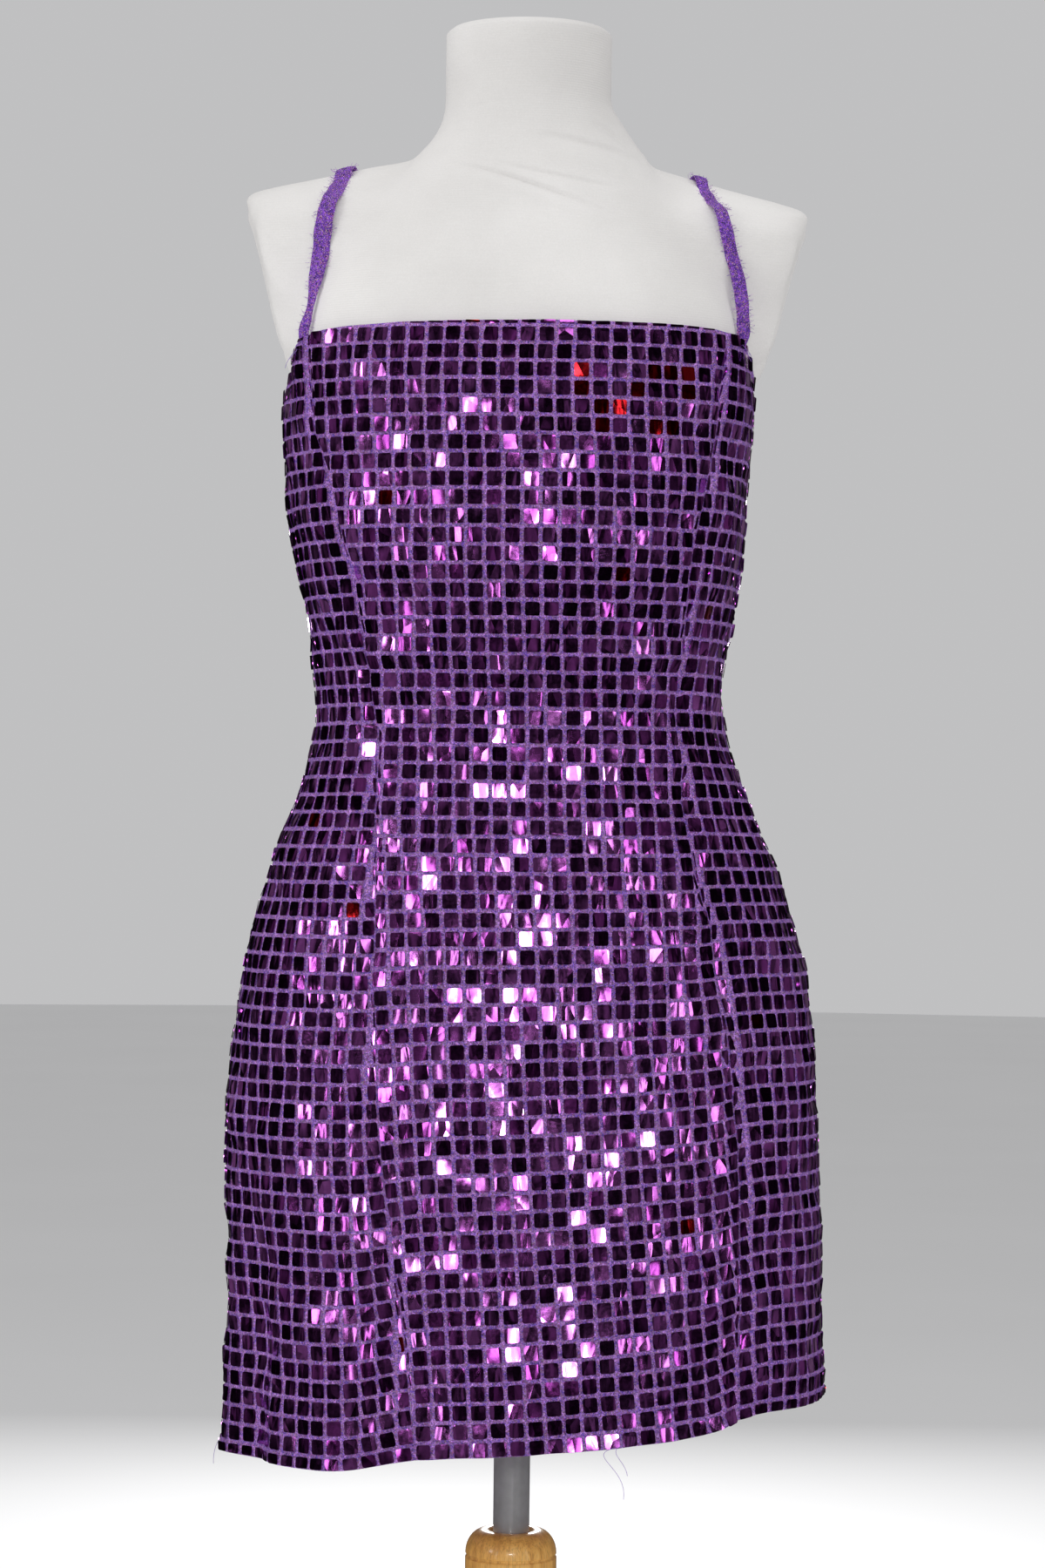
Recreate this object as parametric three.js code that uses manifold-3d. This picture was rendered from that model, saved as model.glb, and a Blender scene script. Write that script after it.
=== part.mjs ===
// Sleeveless mini dress of knit covered in foil squares, worn by a limbless dress form
// on a metal pole and a turned wooden stand.
//
// Frame: millimetres, +Z up, origin at the centre of the base's underside, on the pole's axis.
// The dress faces -Y, and the wearer's left is +X.
// Angles round the dress run anticlockwise seen from above, from 0 at the +X side seam:
// -90 is centre front, 90 is centre back and 180 or -180 the -X side seam.

import * as THREE from 'three';
import { mergeVertices } from 'three/addons/utils/BufferGeometryUtils.js';
import Module from 'manifold-3d';

const wasm = await Module();
wasm.setup();

// ---- Driving dimensions ------------------------------------------------------------------

const CLOTH_WALL = 1.2;
const SEAM_GAP = 0.3;
const PANEL_ROWS = 24;
const FITTING_PASSES = 8;
const HALVINGS = 40;

const POLE_RADIUS = 12.5;
const POLE_BOTTOM = 172;
const POLE_TOP = 820;
const RUNNING_GAP = 0.6;

const TORSO_BOTTOM = 760;
const NECK_TOP = 1503;
const SHOULDER_DROP = 4;
const LEAN_RANGE = { starts: 1270, full: 1390, fades: 1400, ends: 1450 };

const BASE_RADIUS = 190;
const BASE_HEIGHT = 30;
const COLUMN_RADIUS = 31.5;
const COLUMN_TOP = 472;
const BORE_BOTTOM = 42;

const KNOB_HEIGHT = 400;
const KNOB_RADIUS = 14;
const SHANK_RADIUS = 4;

// Level sections of the dress from the neckline down to the hem.
// Reach to the wearer's right (-X), left (+X), front (-Y) and back (+Y), and squareness:
// a power of 2 is an ellipse, and more is boxier.
const DRESS_SECTIONS = [
  { z: 1300, right: 157, left: 151.5, front: 104, back: 88, power: 3 },
  { z: 1285, right: 159.5, left: 154, front: 108, back: 90, power: 2.9 },
  { z: 1256, right: 163.5, left: 157.5, front: 116, back: 94, power: 2.6 },
  { z: 1207, right: 164, left: 154, front: 122, back: 96, power: 2.35 },
  { z: 1155, right: 159, left: 151, front: 125, back: 96, power: 2.25 },
  { z: 1099, right: 147.5, left: 144, front: 112, back: 90, power: 2.2 },
  { z: 1035, right: 139.5, left: 137, front: 96, back: 82, power: 2.2 },
  { z: 985, right: 149, left: 152, front: 100, back: 92, power: 2.2 },
  { z: 935, right: 167.5, left: 173, front: 108, back: 106, power: 2.2 },
  { z: 875, right: 183.5, left: 193, front: 113, back: 117, power: 2.2 },
  { z: 805, right: 195, left: 203.5, front: 116, back: 122, power: 2.25 },
  { z: 745, right: 198.5, left: 206.5, front: 119, back: 124, power: 2.3 },
  { z: 655, right: 195, left: 210.5, front: 124, back: 126, power: 2.25 },
  { z: 585, right: 195, left: 212, front: 127, back: 128, power: 2.2 },
  { z: 525, right: 199, left: 211, front: 130, back: 130, power: 2.2 },
];

// Where the two princess seams run across the front, as distances from the middle plane.
const PRINCESS_SEAMS = [
  { z: 1295, right: -145, left: 134 },
  { z: 1235, right: -144, left: 130 },
  { z: 1200, right: -133, left: 125.5 },
  { z: 1128, right: -115.5, left: 112 },
  { z: 1036, right: -98.5, left: 106 },
  { z: 950, right: -96, left: 113 },
  { z: 885, right: -96, left: 129 },
  { z: 760, right: -91.5, left: 147 },
  { z: 618, right: -72.5, left: 151 },
  { z: 525, right: -62, left: 150 },
];

// Height of the top edge round the body: straight across the front, down under the arms
// and straight across the back.
const TOP_EDGE = [
  { angle: -180, z: 1240 },
  { angle: -173, z: 1258 },
  { angle: -165, z: 1277 },
  { angle: -155, z: 1285 },
  { angle: -140, z: 1289 },
  { angle: -90, z: 1292 },
  { angle: -40, z: 1291 },
  { angle: -25, z: 1288 },
  { angle: -15, z: 1281 },
  { angle: -7, z: 1259 },
  { angle: 0, z: 1240 },
  { angle: 45, z: 1236 },
  { angle: 135, z: 1236 },
  { angle: 180, z: 1240 },
];

// Height of the hem across the dress, which hangs lower at the wearer's right.
const HEM_EDGE = [
  { x: -200, z: 530 },
  { x: -114, z: 531 },
  { x: -66, z: 540 },
  { x: 7, z: 545 },
  { x: 126, z: 556 },
  { x: 165, z: 567 },
  { x: 212, z: 569 },
];

// Hanging folds of the skirt: where each lies at the hem, how wide it is in degrees, how far
// it stands out (+) or dips in (-), and the height at which it has died away.
const SKIRT_FOLDS = [
  { angle: -170, width: 5, depth: 4.5, fades: 815 },
  { angle: -160.5, width: 4.5, depth: -9, fades: 815 },
  { angle: -138, width: 8, depth: 4, fades: 720 },
  { angle: -112, width: 9, depth: -2, fades: 700 },
  { angle: -34, width: 8, depth: -3, fades: 760 },
  { angle: -18, width: 7, depth: 3, fades: 760 },
  { angle: 28, width: 9, depth: -4, fades: 800 },
  { angle: 52, width: 10, depth: 4, fades: 780 },
  { angle: 80, width: 9, depth: -4, fades: 740 },
  { angle: 108, width: 10, depth: 4.5, fades: 780 },
  { angle: 136, width: 9, depth: -4.5, fades: 800 },
  { angle: 158, width: 8, depth: 4, fades: 780 },
];

// Height below which every fold has its full depth.
const FOLDS_FULL = 560;

// Level sections of the form's body, from its flat underside to the top of its neck.
const TORSO_SECTIONS = [
  { z: TORSO_BOTTOM, shift: 2, side: 170, front: 99, back: 102, power: 2.3 },
  { z: 766, shift: 2, side: 176, front: 104, back: 108, power: 2.3 },
  { z: 805, shift: 2, side: 177, front: 105, back: 110, power: 2.3 },
  { z: 875, shift: 2, side: 171, front: 103, back: 107, power: 2.2 },
  { z: 935, shift: 1, side: 156, front: 98, back: 97, power: 2.2 },
  { z: 985, shift: 0, side: 140, front: 91, back: 84, power: 2.2 },
  { z: 1035, shift: -1, side: 129, front: 87, back: 74, power: 2.2 },
  { z: 1099, shift: -2, side: 137, front: 104, back: 82, power: 2.2 },
  { z: 1155, shift: -3, side: 148, front: 118, back: 89, power: 2.25 },
  { z: 1207, shift: -4.5, side: 152, front: 117, back: 90, power: 2.35 },
  { z: 1256, shift: -3, side: 156, front: 110, back: 89, power: 2.5 },
  { z: 1285, shift: -2.5, side: 153.5, front: 103, back: 86, power: 2.75 },
  { z: 1320, shift: -2, side: 147, front: 93, back: 83, power: 2.6 },
  { z: 1350, shift: -1, side: 134, front: 83, back: 80, power: 2.35 },
  { z: 1380, shift: 0, side: 113, front: 73, back: 75, power: 2.1 },
  { z: 1400, shift: 2, side: 94, front: 66, back: 69, power: 2 },
  { z: 1418, shift: 4, side: 77, front: 61, back: 62, power: 2 },
  { z: 1434, shift: 3.5, side: 65, front: 58, back: 58, power: 2 },
  { z: 1456, shift: 0, side: 57, front: 56, back: 56, power: 2 },
  { z: 1499, shift: 0, side: 57, front: 56, back: 56, power: 2 },
  { z: NECK_TOP, shift: 0, side: 53, front: 52, back: 52, power: 2 },
];

// Level sections of the shoulders and the short arm stumps, which the arm plates then trim.
const SHOULDER_SECTIONS = [
  { z: 1255, side: 138, depth: 14, power: 2.4 },
  { z: 1270, side: 166, depth: 18, power: 2.6 },
  { z: 1290, side: 186, depth: 30, power: 2.6 },
  { z: 1320, side: 198, depth: 46, power: 2.5 },
  { z: 1350, side: 206, depth: 55, power: 2.4 },
  { z: 1370, side: 206, depth: 52, power: 2.3 },
  { z: 1382, side: 196, depth: 42, power: 2.1 },
  { z: 1390, side: 174, depth: 33, power: 1.9 },
  { z: 1397, side: 144, depth: 26, power: 1.8 },
  { z: 1405, side: 112, depth: 18, power: 1.8 },
  { z: 1412, side: 82, depth: 8, power: 2 },
];
const SHOULDER_BACKSET = 4;

// The arm plates are flat faces that lean out from the underarm up to the shoulder point
// and turn a little forward.
const ARM_PLATE = { lowZ: 1256, lowX: 160, highZ: 1380, highX: 193, forwardTurn: 0.09 };
const SOFT_EDGE = 26;
const PLATE_EDGE = 6;

// ---- Curves and sections -----------------------------------------------------------------

const toRadians = THREE.MathUtils.degToRad;

// Smooth curve through hand-set stations: value of one column where the key has this value.
function lookUp(stations, key, column, at) {
  const rising = stations[0][key] < stations[stations.length - 1][key];
  const rows = rising ? stations : [...stations].reverse();
  const last = rows.length - 1;
  if (at <= rows[0][key]) return rows[0][column];
  if (at >= rows[last][key]) return rows[last][column];
  let i = 0;
  while (rows[i + 1][key] < at) i += 1;
  const slope = (j) => {
    const low = rows[Math.max(j - 1, 0)];
    const high = rows[Math.min(j + 1, last)];
    return (high[column] - low[column]) / (high[key] - low[key]);
  };
  const span = rows[i + 1][key] - rows[i][key];
  const t = (at - rows[i][key]) / span;
  const rise = rows[i + 1][column] - rows[i][column];
  const entry = slope(i) * span;
  const exit = slope(i + 1) * span;
  const curve = t * t * (3 - 2 * t) * rise;
  return rows[i][column] + curve + t * (1 - t) * ((1 - t) * entry - t * exit);
}

// Distance from the axis to a rounded-box outline in one direction.
function outlineRadius(angle, side, depth, power) {
  const across = Math.abs(Math.cos(angle)) / side;
  const along = Math.abs(Math.sin(angle)) / depth;
  return (across ** power + along ** power) ** (-1 / power);
}

// Larger of two radii, with the crease between them rounded over.
function softMax(a, b, softness) {
  const near = Math.max(softness - Math.abs(a - b), 0) / softness;
  return Math.max(a, b) + (near * near * softness) / 4;
}

function dressRadius(angle, z) {
  const size = (column) => lookUp(DRESS_SECTIONS, 'z', column, z);
  const side = Math.cos(angle) < 0 ? size('right') : size('left');
  const depth = Math.sin(angle) < 0 ? size('front') : size('back');
  let radius = outlineRadius(angle, side, depth, size('power'));
  for (const fold of SKIRT_FOLDS) {
    const hang = THREE.MathUtils.smoothstep(fold.fades - z, 0, fold.fades - FOLDS_FULL);
    const turn = THREE.MathUtils.euclideanModulo(angle - toRadians(fold.angle) + Math.PI, 2 * Math.PI);
    const away = (turn - Math.PI) / toRadians(fold.width);
    radius += fold.depth * hang * Math.exp(-away * away);
  }
  return radius;
}

function dressPoint(angle, z) {
  const radius = dressRadius(angle, z);
  return new THREE.Vector3(radius * Math.cos(angle), radius * Math.sin(angle), z);
}

const NORMAL_TURN = 0.01;
const NORMAL_RISE = 2;

function dressNormal(angle, z) {
  const around = dressPoint(angle + NORMAL_TURN, z).sub(dressPoint(angle - NORMAL_TURN, z));
  const upward = dressPoint(angle, z + NORMAL_RISE).sub(dressPoint(angle, z - NORMAL_RISE));
  return around.cross(upward).normalize();
}

// How far the shoulder line is lowered at a place: the form stands a touch lower at +X.
function shoulderLean(x, z) {
  const rising = THREE.MathUtils.smoothstep(z, LEAN_RANGE.starts, LEAN_RANGE.full);
  const share = rising * (1 - THREE.MathUtils.smoothstep(z, LEAN_RANGE.fades, LEAN_RANGE.ends));
  return (-SHOULDER_DROP * share * x) / ARM_PLATE.highX;
}

function torsoRadius(angle, z) {
  const body = (column) => lookUp(TORSO_SECTIONS, 'z', column, z);
  const depth = Math.sin(angle) < 0 ? body('front') : body('back');
  const side = body('side') + body('shift') * Math.cos(angle);
  let radius = outlineRadius(angle, side, depth, body('power'));
  const top = SHOULDER_SECTIONS[SHOULDER_SECTIONS.length - 1].z;
  if (z > SHOULDER_SECTIONS[0].z && z < top) {
    const yoke = (column) => lookUp(SHOULDER_SECTIONS, 'z', column, z);
    const reach = yoke('depth') + SHOULDER_BACKSET * Math.sin(angle);
    const shoulder = outlineRadius(angle, yoke('side'), reach, yoke('power'));
    radius = softMax(radius, shoulder, SOFT_EDGE);
    const lean = (ARM_PLATE.highX - ARM_PLATE.lowX) / (ARM_PLATE.highZ - ARM_PLATE.lowZ);
    const plate = ARM_PLATE.lowX + lean * (z - ARM_PLATE.lowZ);
    const facing = Math.abs(Math.cos(angle)) - ARM_PLATE.forwardTurn * Math.sin(angle);
    if (facing > 0) radius = -softMax(-radius, -plate / facing, PLATE_EDGE);
  }
  return radius;
}

function torsoPoint(angle, z) {
  const radius = torsoRadius(angle, z);
  const x = radius * Math.cos(angle);
  return new THREE.Vector3(x, radius * Math.sin(angle), z + shoulderLean(x, z));
}

// ---- Closed solids -----------------------------------------------------------------------

function geometryFrom(points, triangles) {
  const geometry = new THREE.BufferGeometry();
  geometry.setAttribute('position', new THREE.Float32BufferAttribute(points.flatMap((p) => p.toArray()), 3));
  geometry.setIndex(triangles);
  geometry.computeVertexNormals();
  return geometry;
}

// Solid between two matching grids of points, one outside the other, closed at its rims.
function wallBetween(outer, inner) {
  const rows = outer.length;
  const columns = outer[0].length;
  const points = [...outer.flat(), ...inner.flat()];
  const front = (r, c) => r * columns + c;
  const behind = (r, c) => rows * columns + r * columns + c;
  const triangles = [];
  const quad = (a, b, c, d) => triangles.push(a, b, c, a, c, d);
  const edge = columns - 1;
  for (let r = 0; r < rows - 1; r += 1) {
    for (let c = 0; c < columns - 1; c += 1) {
      quad(front(r, c), front(r, c + 1), front(r + 1, c + 1), front(r + 1, c));
      quad(behind(r, c), behind(r + 1, c), behind(r + 1, c + 1), behind(r, c + 1));
    }
    quad(front(r, edge), behind(r, edge), behind(r + 1, edge), front(r + 1, edge));
    quad(behind(r, 0), front(r, 0), front(r + 1, 0), behind(r + 1, 0));
  }
  for (let c = 0; c < columns - 1; c += 1) {
    quad(behind(0, c), behind(0, c + 1), front(0, c + 1), front(0, c));
    quad(front(rows - 1, c), front(rows - 1, c + 1), behind(rows - 1, c + 1), behind(rows - 1, c));
  }
  return geometryFrom(points, triangles);
}

// Solid through a stack of closed rings of points, with a flat lid at each end.
function loft(rings) {
  const count = rings[0].length;
  const points = rings.flat();
  const triangles = [];
  const at = (r, c) => r * count + (c % count);
  for (let r = 0; r < rings.length - 1; r += 1) {
    for (let c = 0; c < count; c += 1) {
      triangles.push(at(r, c), at(r, c + 1), at(r + 1, c + 1));
      triangles.push(at(r, c), at(r + 1, c + 1), at(r + 1, c));
    }
  }
  const centreOf = (ring) => ring.reduce((sum, p) => sum.add(p), new THREE.Vector3()).divideScalar(count);
  const low = points.push(centreOf(rings[0])) - 1;
  const high = points.push(centreOf(rings[rings.length - 1])) - 1;
  for (let c = 0; c < count; c += 1) {
    triangles.push(low, at(0, c + 1), at(0, c));
    triangles.push(high, at(rings.length - 1, c), at(rings.length - 1, c + 1));
  }
  return geometryFrom(points, triangles);
}

// Turned solid from its half profile, [radius, height] pairs that start and end on the axis.
function turned(profile, sides) {
  const outline = profile.map(([radius, height]) => new THREE.Vector2(radius, height));
  return new THREE.LatheGeometry(outline, sides).rotateX(Math.PI / 2);
}

function toSolid(geometry) {
  const bare = geometry.clone();
  bare.deleteAttribute('normal');
  bare.deleteAttribute('uv');
  const merged = mergeVertices(bare, 1e-4);
  return new wasm.Manifold(new wasm.Mesh({
    numProp: 3,
    vertProperties: new Float32Array(merged.attributes.position.array),
    triVerts: new Uint32Array(merged.index.array),
  }));
}

function cutFrom(geometry, tool) {
  const mesh = toSolid(geometry).subtract(toSolid(tool)).getMesh();
  const result = new THREE.BufferGeometry();
  result.setAttribute('position', new THREE.BufferAttribute(mesh.vertProperties, 3));
  result.setIndex(new THREE.BufferAttribute(mesh.triVerts, 1));
  result.computeVertexNormals();
  return result;
}

// ---- The dress ---------------------------------------------------------------------------

const topHeight = (angle) => lookUp(TOP_EDGE, 'angle', 'z', THREE.MathUtils.radToDeg(angle));

function hemHeight(angle) {
  const x = dressRadius(angle, DRESS_SECTIONS[DRESS_SECTIONS.length - 1].z) * Math.cos(angle);
  return lookUp(HEM_EDGE, 'x', 'z', x);
}

// Angle at which a princess seam lies at one height, found by halving between the sides.
function princessAngle(side) {
  return (z) => {
    const target = lookUp(PRINCESS_SEAMS, 'z', side, z);
    let low = -Math.PI;
    let high = 0;
    for (let step = 0; step < HALVINGS; step += 1) {
      const middle = (low + high) / 2;
      if (dressPoint(middle, z).x < target) low = middle;
      else high = middle;
    }
    return (low + high) / 2;
  };
}

// One panel between two seams, each given as an angle that may change with height.
function panel(firstSeam, lastSeam, columns) {
  const outer = [];
  const inner = [];
  for (let r = 0; r <= PANEL_ROWS; r += 1) {
    const rise = r / PANEL_ROWS;
    const outerRow = [];
    const innerRow = [];
    for (let c = 0; c <= columns; c += 1) {
      let z = THREE.MathUtils.lerp(HEM_EDGE[0].z, TOP_EDGE[0].z, rise);
      let angle = 0;
      for (let pass = 0; pass < FITTING_PASSES; pass += 1) {
        const trim = SEAM_GAP / 2 / dressRadius(firstSeam(z), z);
        angle = THREE.MathUtils.lerp(firstSeam(z) + trim, lastSeam(z) - trim, c / columns);
        z = THREE.MathUtils.lerp(hemHeight(angle), topHeight(angle), rise);
      }
      const point = dressPoint(angle, z);
      outerRow.push(point);
      innerRow.push(point.clone().addScaledVector(dressNormal(angle, z), -CLOTH_WALL));
    }
    outer.push(outerRow);
    inner.push(innerRow);
  }
  return wallBetween(outer, inner);
}

const fixedSeam = (degrees) => () => toRadians(degrees);
const rightPrincess = princessAngle('right');
const leftPrincess = princessAngle('left');

const DRESS_PANELS = [
  { name: 'front_side_right', from: fixedSeam(-180), to: rightPrincess, columns: 12 },
  { name: 'front_centre', from: rightPrincess, to: leftPrincess, columns: 14 },
  { name: 'front_side_left', from: leftPrincess, to: fixedSeam(0), columns: 10 },
  { name: 'back_left', from: fixedSeam(0), to: fixedSeam(90), columns: 12 },
  { name: 'back_right', from: fixedSeam(90), to: fixedSeam(180), columns: 12 },
];

// ---- The straps --------------------------------------------------------------------------

const STRAP_WIDTH = 11;
const STRAP_CLEARANCE = 2.1;
const STRAP_STEPS = 36;
const PUSH_PASSES = 4;
const BEYOND_TORSO = 260;
const INSIDE_SHOULDER = 1340;

// Each strap as seen from the front and from behind, as [x, z] pairs: from the neckline corner,
// straight up clear of the arm stump, over the shoulder and down to the back's top edge.
const STRAPS = [
  {
    name: 'strap_right',
    front: [[-149.5, 1288.5], [-145.5, 1305], [-142, 1328], [-138, 1351], [-132.5, 1382]],
    crest: -123,
    back: [[-112, 1380], [-103, 1345], [-95, 1300], [-90, 1262], [-88, 1239]],
  },
  {
    name: 'strap_left',
    front: [[147, 1290], [146.5, 1307], [143.5, 1328], [136.5, 1352], [127.5, 1380]],
    crest: 116,
    back: [[109, 1380], [101, 1345], [93, 1300], [88, 1262], [86, 1239]],
  },
];

// How far a point stands clear of the form, measured level and away from the axis.
function clearOfTorso(point) {
  const z = point.z - shoulderLean(point.x, point.z);
  return Math.hypot(point.x, point.y) - torsoRadius(Math.atan2(point.y, point.x), z);
}

// Point where a line out of the form leaves its surface.
function surfaceHit(start, direction) {
  let low = 0;
  let high = BEYOND_TORSO;
  for (let step = 0; step < HALVINGS; step += 1) {
    const middle = (low + high) / 2;
    if (clearOfTorso(start.clone().addScaledVector(direction, middle)) < 0) low = middle;
    else high = middle;
  }
  return start.clone().addScaledVector(direction, low);
}

function torsoNormal(point) {
  const step = 0.5;
  const along = (x, y, z) => {
    const shift = new THREE.Vector3(x, y, z).multiplyScalar(step);
    return clearOfTorso(point.clone().add(shift)) - clearOfTorso(point.clone().sub(shift));
  };
  return new THREE.Vector3(along(1, 0, 0), along(0, 1, 0), along(0, 0, 1)).normalize();
}

// Depth at which a strap leaves the neckline: in line with the panel below it.
function necklineDepth([x, z]) {
  const side = x < 0 ? 'right' : 'left';
  const size = (column) => lookUp(DRESS_SECTIONS, 'z', column, z);
  const share = Math.min(Math.abs(x) / size(side), 1) ** size('power');
  return -size('front') * (1 - share) ** (1 / size('power'));
}

function strapRoute({ front, crest, back }) {
  const onForm = (x, z, y) => surfaceHit(new THREE.Vector3(x, 0, z), new THREE.Vector3(0, y, 0));
  const start = new THREE.Vector3(front[0][0], necklineDepth(front[0]), front[0][1]);
  const rest = onForm(...front[3], -1);
  const stops = [start];
  for (const [x, z] of front.slice(1, 3)) {
    const share = (z - start.z) / (rest.z - start.z);
    stops.push(new THREE.Vector3(x, THREE.MathUtils.lerp(start.y, rest.y, share), z));
  }
  stops.push(rest, onForm(...front[4], -1));
  const inShoulder = new THREE.Vector3(crest, SHOULDER_BACKSET, INSIDE_SHOULDER);
  stops.push(surfaceHit(inShoulder, new THREE.Vector3(0, 0, 1)));
  for (const [x, z] of back) stops.push(onForm(x, z, 1));
  return new THREE.CatmullRomCurve3(stops, false, 'centripetal').getSpacedPoints(STRAP_STEPS);
}

function strap(design) {
  const centres = strapRoute(design);
  const lift = STRAP_CLEARANCE + CLOTH_WALL / 2;
  const frameAt = (step) => {
    const along = centres[Math.min(step + 1, STRAP_STEPS)].clone().sub(centres[Math.max(step - 1, 0)]);
    const across = along.clone().cross(torsoNormal(centres[step])).normalize();
    return { across, outward: across.clone().cross(along).normalize() };
  };
  for (let pass = 0; pass < PUSH_PASSES; pass += 1) {
    for (let step = 0; step <= STRAP_STEPS; step += 1) {
      const { across, outward } = frameAt(step);
      const edges = [-0.5, 0, 0.5].map((u) => centres[step].clone().addScaledVector(across, u * STRAP_WIDTH));
      const lowest = Math.min(...edges.map(clearOfTorso));
      if (lowest < lift) centres[step].addScaledVector(outward, lift - lowest);
    }
  }
  const rings = centres.map((centre, step) => {
    const { across, outward } = frameAt(step);
    const corner = (u, v) => centre.clone()
      .addScaledVector(across, (u * STRAP_WIDTH) / 2)
      .addScaledVector(outward, (v * CLOTH_WALL) / 2);
    return [corner(1, 1), corner(1, -1), corner(-1, -1), corner(-1, 1)];
  });
  return loft(rings);
}

// ---- The form and its stand --------------------------------------------------------------

const ROUND_SIDES = 32;
const SOCKET_OVERRUN = 10;
const BASE_SIDES = 64;
const KNOB_SIDES = 24;
const SCREW_SIDES = 16;
const TORSO_HEIGHTS = [
  TORSO_BOTTOM, 766, 805, 840, 875, 905, 935, 985, 1035, 1067, 1099, 1155, 1207, 1232, 1256, 1270, 1285,
  1302, 1320, 1335, 1350, 1361, 1371, 1379, 1385, 1390, 1395, 1400, 1406, 1412, 1418, 1426, 1436, 1456,
  1499, NECK_TOP,
];

// Directions of the form's facets: close together round the arm stumps, wider elsewhere.
function torsoAngles() {
  const quarter = [0, 5, 10, 15, 20, 25, 35, 45, 55, 67, 78, 90];
  const half = [...quarter, ...quarter.slice(1, -1).reverse().map((angle) => 180 - angle)];
  return [...half, ...half.map((angle) => angle + 180)].map(toRadians);
}

function torso() {
  const angles = torsoAngles();
  const rings = TORSO_HEIGHTS.map((z) => angles.map((angle) => torsoPoint(angle, z)));
  const socket = POLE_RADIUS + RUNNING_GAP;
  const roof = POLE_TOP + SEAM_GAP;
  const floor = TORSO_BOTTOM - SOCKET_OVERRUN;
  const hole = turned([[0, floor], [socket, floor], [socket, roof], [0, roof]], ROUND_SIDES);
  return cutFrom(loft(rings), hole);
}

const POLE_EDGE = 1;

function pole() {
  return turned([
    [0, POLE_BOTTOM],
    [POLE_RADIUS - POLE_EDGE, POLE_BOTTOM],
    [POLE_RADIUS, POLE_BOTTOM + POLE_EDGE],
    [POLE_RADIUS, POLE_TOP - POLE_EDGE],
    [POLE_RADIUS - POLE_EDGE, POLE_TOP],
    [0, POLE_TOP],
  ], ROUND_SIDES);
}

// Quarter round from one profile point to another, leaving the first one upright or level.
function quarterRound([startRadius, startHeight], [endRadius, endHeight], upright) {
  const steps = 5;
  const points = [];
  for (let step = 1; step <= steps; step += 1) {
    const turn = (step / steps) * (Math.PI / 2);
    const fast = Math.sin(turn);
    const slow = 1 - Math.cos(turn);
    const [inward, upward] = upright ? [slow, fast] : [fast, slow];
    const radius = startRadius + (endRadius - startRadius) * inward;
    points.push([radius, startHeight + (endHeight - startHeight) * upward]);
  }
  return points;
}

// Turned post: a rounded foot, a hollow curve up to the shaft, and a rounded shoulder on top.
const FOOT = { radius: 52, swell: 2, height: 12, neckRadius: 44, coveHeight: 44, step: 4 };
const SHOULDER = { inset: 13, height: 16, chamfer: 3 };

function column() {
  const low = BASE_HEIGHT + SEAM_GAP;
  const shoulder = COLUMN_TOP - SHOULDER.height;
  const bore = POLE_RADIUS + RUNNING_GAP;
  const footTop = low + FOOT.height;
  const neck = [FOOT.neckRadius, footTop + FOOT.step];
  const shaft = [COLUMN_RADIUS, neck[1] + FOOT.coveHeight];
  const profile = [
    [0, low], [FOOT.radius, low], [FOOT.radius + FOOT.swell, low + FOOT.height / 2], [FOOT.radius, footTop],
    neck, ...quarterRound(neck, shaft, false),
    [COLUMN_RADIUS, shoulder],
    ...quarterRound([COLUMN_RADIUS, shoulder], [COLUMN_RADIUS - SHOULDER.inset, COLUMN_TOP], true),
    [bore, COLUMN_TOP - SHOULDER.chamfer], [bore, BORE_BOTTOM], [0, BORE_BOTTOM],
  ];
  const reach = COLUMN_RADIUS + SHANK_RADIUS;
  const screwHole = SHANK_RADIUS + SEAM_GAP;
  const hole = new THREE.CylinderGeometry(screwHole, screwHole, reach, SCREW_SIDES);
  hole.translate(0, reach / 2 + bore / 2, KNOB_HEIGHT);
  return cutFrom(turned(profile, ROUND_SIDES), hole);
}

const BASE_EDGE = { round: 10, foot: 4 };

function base() {
  const rim = BASE_HEIGHT - BASE_EDGE.round;
  const profile = [
    [0, 0], [BASE_RADIUS - BASE_EDGE.foot, 0], [BASE_RADIUS, BASE_EDGE.foot],
    [BASE_RADIUS, rim],
    ...quarterRound([BASE_RADIUS, rim], [BASE_RADIUS - BASE_EDGE.round, BASE_HEIGHT], true),
    [0, BASE_HEIGHT],
  ];
  return turned(profile, BASE_SIDES);
}

// Clamp screw: a round grip outside the column and a shank that reaches in to the pole.
const GRIP = { collarRadius: 8, collar: 5, flare: 2, length: 19, bevel: 2 };

function knob() {
  const tip = POLE_RADIUS + SEAM_GAP;
  const start = COLUMN_RADIUS + 1;
  const grip = start + GRIP.collar + GRIP.flare;
  const end = start + GRIP.length;
  const profile = [
    [0, tip], [SHANK_RADIUS, tip], [SHANK_RADIUS, start], [GRIP.collarRadius, start],
    [GRIP.collarRadius, start + GRIP.collar], [KNOB_RADIUS, grip], [KNOB_RADIUS, end - GRIP.bevel],
    [KNOB_RADIUS - GRIP.bevel, end], [0, end],
  ];
  return turned(profile, KNOB_SIDES).rotateX(-Math.PI / 2).translate(0, 0, KNOB_HEIGHT);
}

// ---- Materials and assembly --------------------------------------------------------------

const FOIL_KNIT = { color: 0x5a2f8c, roughness: 0.35, metalness: 0.5 };
const STRAP_KNIT = { color: 0x7a4cc0, roughness: 0.8, metalness: 0 };
const JERSEY = { color: 0xdedcda, roughness: 0.95, metalness: 0 };
const SATIN_METAL = { color: 0x969b9b, roughness: 0.4, metalness: 1 };
const LACQUERED_WOOD = { color: 0xd39a4e, roughness: 0.35, metalness: 0 };

const figure = new THREE.Group();

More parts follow.
